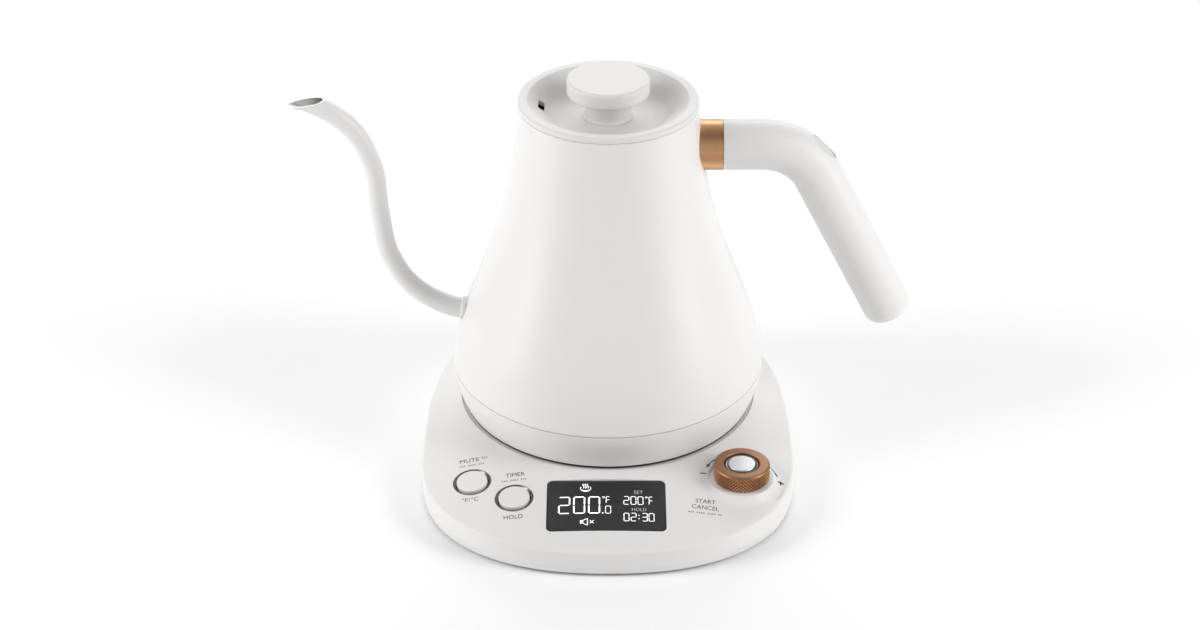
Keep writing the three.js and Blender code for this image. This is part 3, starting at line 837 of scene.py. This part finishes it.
def make_lid():
    rim = mm_box("lid_cover")[1][2]
    seam = rim - 2.6
    floor, floor_radius = 171.3, 24.5
    points = [
        (37, 170), (37, 163), (39.9, 163), (39.9, 166.7), (38.6, 166.7), (38.6, 171.3), (39.9, 171.3),
        (39.9, seam - 0.12), (41.65, seam - 0.12), (41.6, rim), (37.2, rim), (floor_radius, floor),
        (2.2, floor), (2.2, floor - 1.6), (floor_radius + 0.5, floor - 1.6), (36.4, 176.6), (37, 176.6),
        (37, 170),
    ]
    radii = [0, 0.3, 0.4, 0.2, 0.2, 0.2, 0.2, 0.2, 0.35, 1.1, 1.4, 14.0, 0.2, 0.2, 2, 0.2, 0.1, 0]
    lid = ring("lid_shell", points, radii, 8, LID_PLASTIC, 192)
    vent = prism(rounded_rectangle((-1.45, -4), (1.45, 4), 0.8, 5), -6, 6, ZERO)
    vent.matrix_world = placed(-30.7, 1.2, 174.0)
    carve(lid, vent)
    soften(lid, 0.15, 50.0)
    ride(lid, "lid", ["lid_cover"])
    outline = corner([(0, 163.2), (36.6, 163.2), (36.6, 164.6), (0, 164.6)], [0, 0.5, 0.3, 0], 4)
    plate = lathe("lid_steel_plate", outline, STEEL, 128)
    carve(plate, peg(2, 160, 168, placed(-20, 0, 0)))
    ride(plate, "lid", ["lid_inner_plate"])
    points = [(39, 169), (39, 167), (40.25, 167.4), (39.8, 168.9), (40.25, 170.4), (39, 171), (39, 169)]
    seal = ring("lid_silicone_seal", points, [0, 0.1, 0.3, 0.3, 0.3, 0.1, 0], 5, SILICONE, 160)
    ride(seal, "lid", ["lid_seal"])


def make_knob():
    foot, high = (box[2] for box in mm_box("lid_knob"))
    low = foot + 1.4
    points = [(0, high), (19, high), (19, low), (12.3, low), (12.3, foot), (10.5, foot)]
    outline = corner(points, [0, 1.3, 1.5, 0.3, 0.5, 0], 8)
    knob = lathe("lid_knob_disc", [*outline, (2.2, foot), (0, foot)], LID_PLASTIC, 160)
    even_normals(knob)
    ride(knob, "lid", ["lid_knob"])
    low, high = (box[2] for box in mm_box("lid_knob_neck"))
    points = [(0, low - 0.25), (11.8, low - 0.25), (10.8, low + 1.2), (10.8, high + 0.25), (0, high + 0.25)]
    neck = lathe("lid_knob_stem", corner(points, [0, 0.1, 1.0, 0.3, 0], 6), LID_PLASTIC, 128)
    even_normals(neck)
    ride(neck, "lid", ["lid_knob_neck"])


# ---------------------------------------------------------------- base


def housing_profile(angle):
    r = outline_radius(angle)
    edge = top_z(r)
    lip = SEAT_RADIUS + 0.4
    points = [
        (r - 2.8, 3), (r - 2.8, 1.5), (r - 0.9, 1.5), (r, 5.5), (r, edge), (lip, top_z(lip)),
        (SEAT_RADIUS, SEAT_Z), (17.4, SEAT_Z), (17.4, 20), (SEAT_RADIUS, 20), (r - 4, top_z(r - 4) - 2.4),
        (r - 2.4, edge - 5), (r - 2.8, 3),
    ]
    radii = [0, 0.3, 1.0, 6.0, 2.2, 0.35, 0.25, 0.3, 0.2, 0, 0, 0, 0]
    return corner(points, radii, 8)[:-1]


def lens_outline(inset):
    """The display window's rounded rectangle, in from its edge by inset."""
    return rounded_rectangle(LENS_LOW + inset, LENS_HIGH - inset, 2.5 - inset, 12)


def make_housing():
    housing = loft("base_shell", housing_profile, WHITE_PLASTIC, 288)
    window = prism(lens_outline(-0.18), 5, 40)
    wells = [peg(9.0, -10, 10, on_top(*centre[:2]), 96) for centre in (UNIT_CENTRE, HOLD_CENTRE)]
    backwards = Matrix.Rotation(-math.pi / 2, 4, "X")
    cord = peg(5.8, 0, 30, placed(0, 70, centre_of("cord_gland")[2]) @ backwards)
    carve(housing, window, *wells, cord)
    soften(housing, 0.22, 50.0)
    apply_modifiers(housing)
    carve(housing, peg(PEDESTAL_REACH - 0.05, 5, 40, placed(*DIAL_CENTRE[:2], 0), 192))
    housing.data.set_sharp_from_angle(angle=math.radians(32))
    even_normals(housing)
    ride(housing, "base", ["base_housing"])


def surface_at(x, y):
    """Height of the base's top, with the level seat of the dial blended into it."""
    reach = math.hypot(x - DIAL_CENTRE[0], y - DIAL_CENTRE[1])
    ground = top_at(x, y)
    rise = PEDESTAL_TOP - ground
    if rise > 0:
        share = min(max((reach - PEDESTAL_RADIUS) / PEDESTAL_FLARE, 0), 1)
        return ground + rise * (1 - share) ** 2.2
    return ground + rise * (1 - smooth_step(reach, 14.0, 15.8))


def make_pedestal():
    """The level seat of the dial, flaring smoothly into the sloping top."""
    count = 192
    turns = [2 * math.pi * j / count for j in range(count)]
    reaches = [8.6, *np.linspace(8.6, 13.0, 6), *np.linspace(13.3, PEDESTAL_REACH, 40), PEDESTAL_REACH]
    verts = []
    for i, reach in enumerate(reaches):
        below = 2.2 if i in (0, len(reaches) - 1) else 0.004
        verts += [(x, y, surface_at(x, y) - below) for x, y in circle_points(DIAL_CENTRE, reach, turns)]
    faces = rings_to_faces(len(reaches), count, True)
    pedestal = finish_mesh("dial_pedestal", verts, faces, WHITE_PLASTIC, sharp=60.0)
    ride(pedestal, "base")


def make_bottom_plate():
    def profile(angle):
        r = outline_radius(angle) - 3.1
        return corner([(r - 20, 2), (r, 2), (r, 4), (r - 20, 4)], [0, 0.4, 0.4, 0], 4)

    plate = loft("base_underside", profile, DARK_PLASTIC, 192, capped=True)
    even_normals(plate)
    ride(plate, "base", ["base_bottom_cover"])


def make_feet():
    for number in range(1, 5):
        node = f"foot_{number}"
        x, y, _ = centre_of(node) - AXIS
        points = [(0, 0), (7, 0), (7, 2.1), (2.1, 2.1), (2.1, 5.2), (0, 5.2)]
        profile = corner(points, [0, 0.6, 0.3, 0.1, 0.4, 0], 5)
        foot = lathe(f"rubber_{node}", [(0, 0), *profile[1:]], RUBBER, 64, offset=AXIS + np.array([x, y, 0]))
        ride(foot, "base", [node])


def make_connector():
    points = [
        (0, 12), (17, 12), (17, 17.5), (22, 17.5), (22, 19.7), (17, 19.7), (17, 31.4), (12, 31.4),
        (12, 20), (9, 20), (9, 31.4), (4, 31.4), (4, 20), (0, 20),
    ]
    radii = [0, 0.4, 0.2, 0.4, 0.4, 0.2, 0.9, 0.5, 0.2, 0.2, 0.5, 0.5, 0.2, 0]
    connector = lathe("power_connector", corner(points, radii, 5), DARK_PLASTIC, 128)
    even_normals(connector)
    ride(connector, "base", ["base_connector"])
    outline = corner([(0, 20.3), (2.2, 20.3), (2.2, 30), (0, 30)], [0, 0.2, 1.2, 0], 6)
    ride(lathe("centre_contact", outline, BRASS, 48), "base", ["contact_pin"])
    points = [(10, 25), (10, 20.3), (11, 20.3), (11, 30), (10, 30), (10, 25)]
    contact = ring("ring_contact", points, [0, 0.1, 0.1, 0.35, 0.35, 0], 5, BRASS, 96)
    ride(contact, "base", ["contact_ring"])


# ---------------------------------------------------------------- display and controls


def make_lens():
    full = lens_outline(0.45)
    middle = (LENS_LOW + LENS_HIGH) / 2
    rings = []
    for share in np.linspace(0.02, 0.97, 26):
        rings.append([(*(middle[:2] + (np.array(point) - middle[:2]) * share), 0.0) for point in full])
    for inset, drop in ((0.45, 0.0), (0.25, 0.01), (0.1, 0.06), (0.0, 0.3), (0.0, 1.9)):
        rings.append([(x, y, drop) for x, y in lens_outline(inset)])
    verts = [(x, y, top_at(x, y) - 0.04 - drop) for row in rings for x, y, drop in row]
    lens = finish_mesh("display_window", verts, capped_faces(len(rings), len(full)), DISPLAY)
    even_normals(lens)
    ride(lens, "base", ["display_lens"])


def spun(centre, points, turn):
    """Points turned by an angle in degrees, about zero, and moved to a centre."""
    c, s = math.cos(math.radians(turn)), math.sin(math.radians(turn))
    return [(centre[0] + x * c - y * s, centre[1] + x * s + y * c) for x, y in points]


class Sheet:
    """Flat marks laid on the sloping top: every point is lifted a little above the surface."""

    def __init__(self, name, material, lift):
        self.name, self.material, self.lift = name, material, lift
        self.verts, self.faces = [], []

    def lay(self, points):
        """Adds points of the surface, and returns the number of the first."""
        start = len(self.verts)
        self.verts += [(x, y, surface_at(x, y) + self.lift) for x, y in points]
        return start

    def polygon(self, points):
        start = self.lay(points)
        self.faces.append(tuple(range(start, start + len(points))))

    def strip(self, points, width):
        """A line of even width through the points."""
        p = np.array(points, float)
        along = np.gradient(p, axis=0)
        along /= np.linalg.norm(along, axis=1)[:, None]
        side = np.stack([-along[:, 1], along[:, 0]], 1) * width / 2
        start = self.lay([point for pair in zip(p + side, p - side) for point in pair])
        for i in range(len(p) - 1):
            k = start + 2 * i
            self.faces.append((k, k + 1, k + 3, k + 2))

    def arc(self, centre, radius, first, last, width, steps):
        self.strip(circle_points(centre, radius, np.radians(np.linspace(first, last, steps))), width)

    def disc(self, centre, radius):
        self.polygon(circle_points(centre, radius, np.linspace(0, 2 * math.pi, 12, endpoint=False)))

    def text(self, words, centre, height, width, turn=0.0):
        """Words in the plain built-in font, centred, with capitals of that height."""
        curve = bpy.data.curves.new("words", "FONT")
        curve.body = words
        curve.align_x = "CENTER"
        curve.align_y = "CENTER"
        curve.size = height / 0.69
        curve.resolution_u = 3
        holder = in_scene("words", curve)
        bpy.context.view_layer.update()
        graph = bpy.context.evaluated_depsgraph_get()
        mesh = bpy.data.meshes.new_from_object(holder.evaluated_get(graph))
        xs = [vertex.co.x for vertex in mesh.vertices]
        stretch = width / (max(xs) - min(xs))
        flat = [(vertex.co.x * stretch, vertex.co.y) for vertex in mesh.vertices]
        start = self.lay(spun(centre, flat, turn))
        for face in mesh.polygons:
            self.faces.append(tuple(start + v for v in face.vertices))
        bpy.data.objects.remove(holder)

    def make(self):
        return finish_mesh(self.name, self.verts, self.faces, self.material)


SEGMENTS = {
    "0": "abcdef", "1": "bc", "2": "abged", "3": "abgcd", "4": "fgbc",
    "5": "afgcd", "6": "afgcde", "7": "abc", "8": "abcdefg", "9": "abfgcd", "F": "aefg",
}


def digit(sheet, glyph, x, y, width, height, stroke):
    """One seven-segment digit with its lower left corner at (x, y)."""
    t = stroke / 2
    gap = stroke * 0.28
    middle = height / 2
    starts = {
        "a": (0, height), "g": (0, middle), "d": (0, 0), "f": (0, middle), "b": (width, middle),
        "e": (0, 0), "c": (width, 0),
    }
    for key in SEGMENTS[glyph]:
        left, foot = starts[key]
        lying = key in "agd"
        end = (width if lying else middle) - gap
        bar = [(gap, 0), (gap + t, t), (end - t, t), (end, 0), (end - t, -t), (gap + t, -t)]
        if not lying:
            bar = [(across, along) for along, across in bar]
        sheet.polygon([(x + left + px + t, y + foot + py + t) for px, py in bar])


def number(sheet, glyphs, x, y, width, height, stroke, pitch):
    for i, glyph in enumerate(glyphs):
        digit(sheet, glyph, x + i * pitch, y, width, height, stroke)


def make_display_marks():
    cx = (LENS_LOW[0] + LENS_HIGH[0]) / 2
    cy = (LENS_LOW[1] + LENS_HIGH[1]) / 2
    sheet = Sheet("display_digits", LIT, 0.015)
    number(sheet, "200", cx - 22.0, cy - 5.6, 4.85, 10.4, 0.66, 6.85)
    sheet.disc((cx - 1.65, cy - 5.2), 0.38)
    digit(sheet, "0", cx - 0.5, cy - 5.6, 2.35, 4.6, 0.34)
    sheet.arc((cx - 1.25, cy + 4.9), 0.42, 0, 360, 0.26, 16)
    digit(sheet, "F", cx - 0.2, cy + 1.0, 1.7, 4.1, 0.32)
    number(sheet, "200", cx + 7.9, cy + 0.2, 2.3, 5.0, 0.34, 3.25)
    sheet.arc((cx + 18.4, cy + 5.0), 0.42, 0, 360, 0.26, 16)
    digit(sheet, "F", cx + 19.5, cy + 0.2, 1.7, 5.0, 0.32)
    number(sheet, "02", cx + 7.9, cy - 10.4, 2.3, 4.9, 0.34, 3.25)
    sheet.disc((cx + 14.9, cy - 6.7), 0.28)
    sheet.disc((cx + 14.9, cy - 8.7), 0.28)
    number(sheet, "30", cx + 16.2, cy - 10.4, 2.3, 4.9, 0.34, 3.1)
    steaming_cup(sheet, cx - 9.5, cy + 10.6)
    muted_speaker(sheet, cx - 9.1, cy - 10.8, 1.05)
    ride(sheet.make(), "base")
    captions = Sheet("display_captions", LIT_DIM, 0.015)
    captions.text("SET", (cx + 14.8, cy + 8.1), 2.2, 4.2)
    captions.text("HOLD", (cx + 15.0, cy - 3.0), 2.0, 6.6)
    ride(captions.make(), "base")


def steaming_cup(sheet, x, y):
    bowl = [(x + 2.45 * math.cos(t), y + 2.0 * math.sin(t)) for t in np.radians(np.linspace(185, 355, 24))]
    turns = np.radians(np.linspace(-12, -168, 20))
    rim = [(x + 2.3 * math.cos(t), y - 0.2 + 0.9 * math.sin(t)) for t in turns]
    sheet.polygon(bowl + rim)
    sheet.arc((x, y), 2.35, 150, 190, 0.32, 10)
    sheet.arc((x, y), 2.35, -10, 30, 0.32, 10)
    for shift in (-1.0, 0.0, 1.0):
        steps = np.linspace(0, 1, 12)
        sheet.strip([(x + shift + 0.28 * math.sin(t * 5.6), y + 0.2 + t * 2.9) for t in steps], 0.38)


def muted_speaker(sheet, x, y, size):
    def at(points):
        return [(x + px * size, y + py * size) for px, py in points]

    sheet.polygon(at([(-2.7, -1.0), (-1.9, -1.0), (-1.9, 1.0), (-2.7, 1.0)]))
    cone = at([(-1.5, -0.9), (0.5, -2.0), (0.5, 2.0), (-1.5, 0.9), (-1.5, -0.9)])
    for a, b in zip(cone, cone[1:]):
        sheet.strip([a, b], 0.32 * size)
    sheet.strip(at([(1.5, -0.9), (3.2, 0.9)]), 0.3 * size)
    sheet.strip(at([(1.5, 0.9), (3.2, -0.9)]), 0.3 * size)


def make_labels():
    ink = Sheet("printed_labels", INK, 0.03)
    ux, uy = UNIT_CENTRE[:2]
    hx, hy = HOLD_CENTRE[:2]
    dx, dy = DIAL_CENTRE[:2]
    ink.text("MUTE", (ux - 1.9, uy + 15.2), 2.6, 9.2, 6)
    muted_speaker(ink, ux + 5.2, uy + 16.6, 0.5)
    ink.text("°F/°C", (ux - 0.3, uy - 12.1), 2.5, 7.7, 5)
    ink.text("TIMER", (hx + 0.1, hy + 15.4), 2.6, 8.9, 5)
    ink.text("HOLD", (hx - 0.1, hy - 12.6), 2.6, 8.7, 3)
    ink.text("START", (dx - 17.3, dy - 16.7), 2.6, 9.2, -5)
    ink.text("CANCEL", (dx - 17.5, dy - 20.7), 2.6, 12.4, -6)
    turn_marks(ink, (dx, dy))
    ride(ink.make(), "base")
    fine = Sheet("fine_rules", FINE_INK, 0.03)
    dashes(fine, (ux - 0.4, uy + 11.9), 12.0, 6)
    dashes(fine, (hx - 0.1, hy + 11.9), 12.0, 5)
    dashes(fine, (dx - 17.6, dy - 24.3), 16.4, -5)
    ride(fine.make(), "base")


def dashes(sheet, centre, length, turn):
    """A fine broken rule in place of small print."""
    pitch = 0.98
    count = int(length / pitch)
    for i in range(count):
        if i % 5 == 3:
            continue
        left = (i - count / 2) * pitch
        points = [(left, -0.5), (left + 0.6, -0.5), (left + 0.6, 0.5), (left, 0.5)]
        sheet.polygon(spun(centre, points, turn))


def turn_marks(sheet, centre):
    """Curved arrows beside the dial, with a minus and a plus at their ends."""
    radius = 17.2
    for first, last, way in ((122, 150, 1), (48, 18, -1)):
        sheet.arc(centre, radius, first, last, 0.55, 20)
        t = math.radians(last)
        point = np.array([centre[0] + radius * math.cos(t), centre[1] + radius * math.sin(t)])
        ahead = np.array([-math.sin(t), math.cos(t)]) * way
        out = np.array([math.cos(t), math.sin(t)])
        sheet.polygon([tuple(point + ahead * 2.4), tuple(point - out * 0.9), tuple(point + out * 0.9)])
    mx, my = centre[0] - 17.6, centre[1] + 2.4
    sheet.strip([(mx - 1.4, my), (mx + 1.4, my)], 0.75)
    px, py = centre[0] + 18.4, centre[1] - 0.4
    sheet.strip([(px - 1.5, py + 0.2), (px + 1.5, py - 0.2)], 0.7)
    sheet.strip([(px - 0.2, py - 1.5), (px + 0.2, py + 1.5)], 0.6)


def make_buttons():
    edge = [(7.5, -3), (7.5, -1.1), (8.85, -0.12), (8.98, -0.3), (8.98, -3), (7.5, -3)]
    top = [(0, 0.72), (4.5, 0.78), (7.15, 0.9), (7.15, -1.9), (2.3, -1.9), (2.3, -6.6), (0, -6.6)]
    bottom = [(2.8, -4), (2.8, -4.4), (7.6, -4.4), (7.6, -3.2), (2.8, -3.2), (2.8, -4)]
    for name, centre in (("unit", UNIT_CENTRE), ("hold", HOLD_CENTRE)):
        bezel = ring(f"{name}_bezel", edge, [0, 0.25, 0.12, 0, 0, 0], 4, BEZEL, 128, offset=ZERO)
        outline = corner(top, [0, 3, 0.55, 0.2, 0.1, 0.2, 0], 7)
        cap = lathe(f"{name}_cap", outline, WHITE_PLASTIC, 128, offset=ZERO)
        even_normals(cap)
        floor = ring(f"{name}_well_floor", bottom, [0] * 6, 6, DARK_PLASTIC, 64, offset=ZERO)
        for piece in (bezel, cap, floor):
            piece.matrix_world = on_top(*centre[:2])
        ride(bezel, "base", [f"{name}_button_well"])
        ride(cap, f"{name}_button", [f"{name}_button"])
        ride(floor, "base")


def knurl(angle, height, teeth=50, pitch=1.65):
    """Depth, from 0 to 1, of a diamond knurl at an angle and height round the dial."""
    around = angle * teeth / (2 * math.pi)
    up = height / pitch
    first = abs(((around + up) % 1) * 2 - 1)
    second = abs(((around - up) % 1) * 2 - 1)
    return min(first, second)


def make_dial():
    low, high = DIAL_LOW[2], DIAL_HIGH[2]
    offset = AXIS + np.array([*DIAL_CENTRE[:2], 0])
    edge = high - 1.0
    band_low, band_high = low + 0.5, edge - 0.35
    tooth = 0.55
    profile = [(8.2, low, 0), (DIAL_RADIUS - 0.9, low, 0), (DIAL_RADIUS - 0.35, low + 0.4, 0)]
    profile += [(DIAL_RADIUS, z, tooth) for z in np.linspace(band_low, band_high, 45)]
    profile += [(DIAL_RADIUS - 0.5, edge - 0.2, 0), (DIAL_RADIUS - 0.2, edge, 0)]
    for t in np.radians(np.linspace(11.25, 90, 8)):
        profile.append((DIAL_RADIUS - 1.2 + math.cos(t), edge + math.sin(t), 0))
    profile += [(10.5, high, 0), (8.6, high, 0), (8.2, high - 0.35, 0)]
    segments = 768
    turns = [2 * math.pi * j / segments for j in range(segments)]
    rows = [[(r - cut * (1 - knurl(t, z - band_low)), z) for t in turns] for r, z, cut in profile]
    faces = rings_to_faces(len(rows), segments, True)
    verts = round_the_axis(rows, segments)
    dial = finish_mesh("dial_body", verts, faces, dial_copper(offset[:2]), sharp=28.0, offset=offset)
    dial.data.materials.append(knurled_copper())
    for face in dial.data.polygons:
        place = face.center / MM - Vector(offset)
        if band_low - 0.2 < place.z < band_high + 0.2 and place.xy.length > DIAL_RADIUS - 1.0:
            face.material_index = 1
    even_normals(dial)
    ride(dial, "dial", ["dial_knob"])
    points = [
        (6.75, 20), (6.75, 15), (7.9, 15), (7.9, high - 0.9), (7.4, high - 0.55), (6.75, high - 0.75),
        (6.75, 20),
    ]
    sleeve = ring("dial_inner_ring", points, [0, 0, 0, 0.15, 0.2, 0.1, 0], 4, BEZEL, 128, offset=offset)
    ride(sleeve, "dial", ["dial_sleeve"])
    points = [(0, high + 0.05), (6.4, high - 0.1), (6.4, 25), (2, 25), (2, 11.6), (0, 11.6)]
    outline = corner(points, [0, 0.55, 0.1, 0, 0, 0], 7)
    button = lathe("dial_press_button", outline, sunray_silver(offset[:2]), 128, offset=offset)
    even_normals(button)
    ride(button, "dial_button", ["dial_button"])


# ---------------------------------------------------------------- everything kept from the CAD


def dress_cad():
    """Gives every CAD node that stays in view its own material."""
    finishes = {
        "steel": STEEL, "aluminium": ALUMINIUM, "brass": BRASS, "dark_plastic": DARK_PLASTIC,
        "white_plastic": WHITE_PLASTIC, "white_paint": WHITE_PAINT, "rubber": RUBBER, "silicone": SILICONE,
        "circuit_board": circuit_board(), "component": component_black(), "display_gloss": DISPLAY,
        "copper": ALUMINIUM, "grey_plastic": DARK_PLASTIC,
    }
    slots = {entry["node"]: entry["material_slot"] for entry in frame["record"]["subparts"]}
    for name, node in frame["nodes"].items():
        node.data.materials.clear()
        node.data.materials.append(finishes[slots[name]])


# ---------------------------------------------------------------- stage, lights and camera


def make_floor():
    mesh = bpy.data.meshes.new("floor")
    size = 6.0
    corners = [(-size, -size, 0), (size, -size, 0), (size, size, 0), (-size, size, 0)]
    mesh.from_pydata(corners, [], [(0, 1, 2, 3)])
    floor = in_scene("floor", mesh)
    m = Nodes("pale_floor")
    m.set(Base_Color=m.blend(m.noise(3.0, 2.0), (0.96, 0.96, 0.96), (0.97, 0.97, 0.97)))
    m.set(Roughness=m.span(m.noise(8.0, 2.0), 0.75, 0.8), Specular_IOR_Level=0.1)
    floor.data.materials.append(m.material)


def area_light(name, place, target, size, power):
    light = bpy.data.lights.new(name, "AREA")
    light.shape = "RECTANGLE"
    light.size, light.size_y = size
    light.energy = power
    holder = in_scene(name, light)
    holder.location = place
    holder.rotation_euler = (Vector(target) - Vector(place)).to_track_quat("-Z", "Y").to_euler()


def make_lights():
    middle = (0.0, 0.02, 0.1)
    area_light("left_softbox", (-1.35, -0.35, 0.7), middle, (0.6, 1.3), 15.1)
    area_light("right_softbox", (1.35, -0.45, 0.75), middle, (0.6, 1.3), 15.6)
    area_light("back_softbox", (0.0, 1.7, 1.0), middle, (2.2, 0.8), 19.0)
    world = bpy.data.worlds.new("studio")
    bpy.context.scene.world = world
    world.use_nodes = True
    background = world.node_tree.nodes["Background"]
    background.inputs["Color"].default_value = (1, 1, 1, 1)
    background.inputs["Strength"].default_value = 0.388
    bpy.context.scene.view_settings.view_transform = "Standard"
    bpy.context.scene.view_settings.look = "None"


def make_camera():
    """The lens and place that give the same view as a 72 mm lens 1.16 m from the kettle."""
    elevation = math.radians(30.93)
    distance = 1156.7
    pivot = Vector((AXIS[0] - 3.76, AXIS[1], GROOVE_Z + 21.2))
    back = Vector((0, -math.cos(elevation), math.sin(elevation)))
    data = bpy.data.cameras.new("camera")
    data.lens = 72
    data.sensor_width = 36
    camera = in_scene("camera", data)
    camera.location = (pivot + back * distance) * MM
    camera.rotation_euler = (math.pi / 2 - elevation, 0, 0)
    bpy.context.scene.camera = camera


for make in (
    make_camera, make_body, make_skirt, make_bottom_cover, make_coupling, make_spout, make_handle,
    make_handle_collar, make_lid, make_knob, make_housing, make_pedestal, make_bottom_plate, make_feet,
    make_connector, make_lens, make_display_marks, make_labels, make_buttons, make_dial, dress_cad,
    make_floor, make_lights,
):
    make()
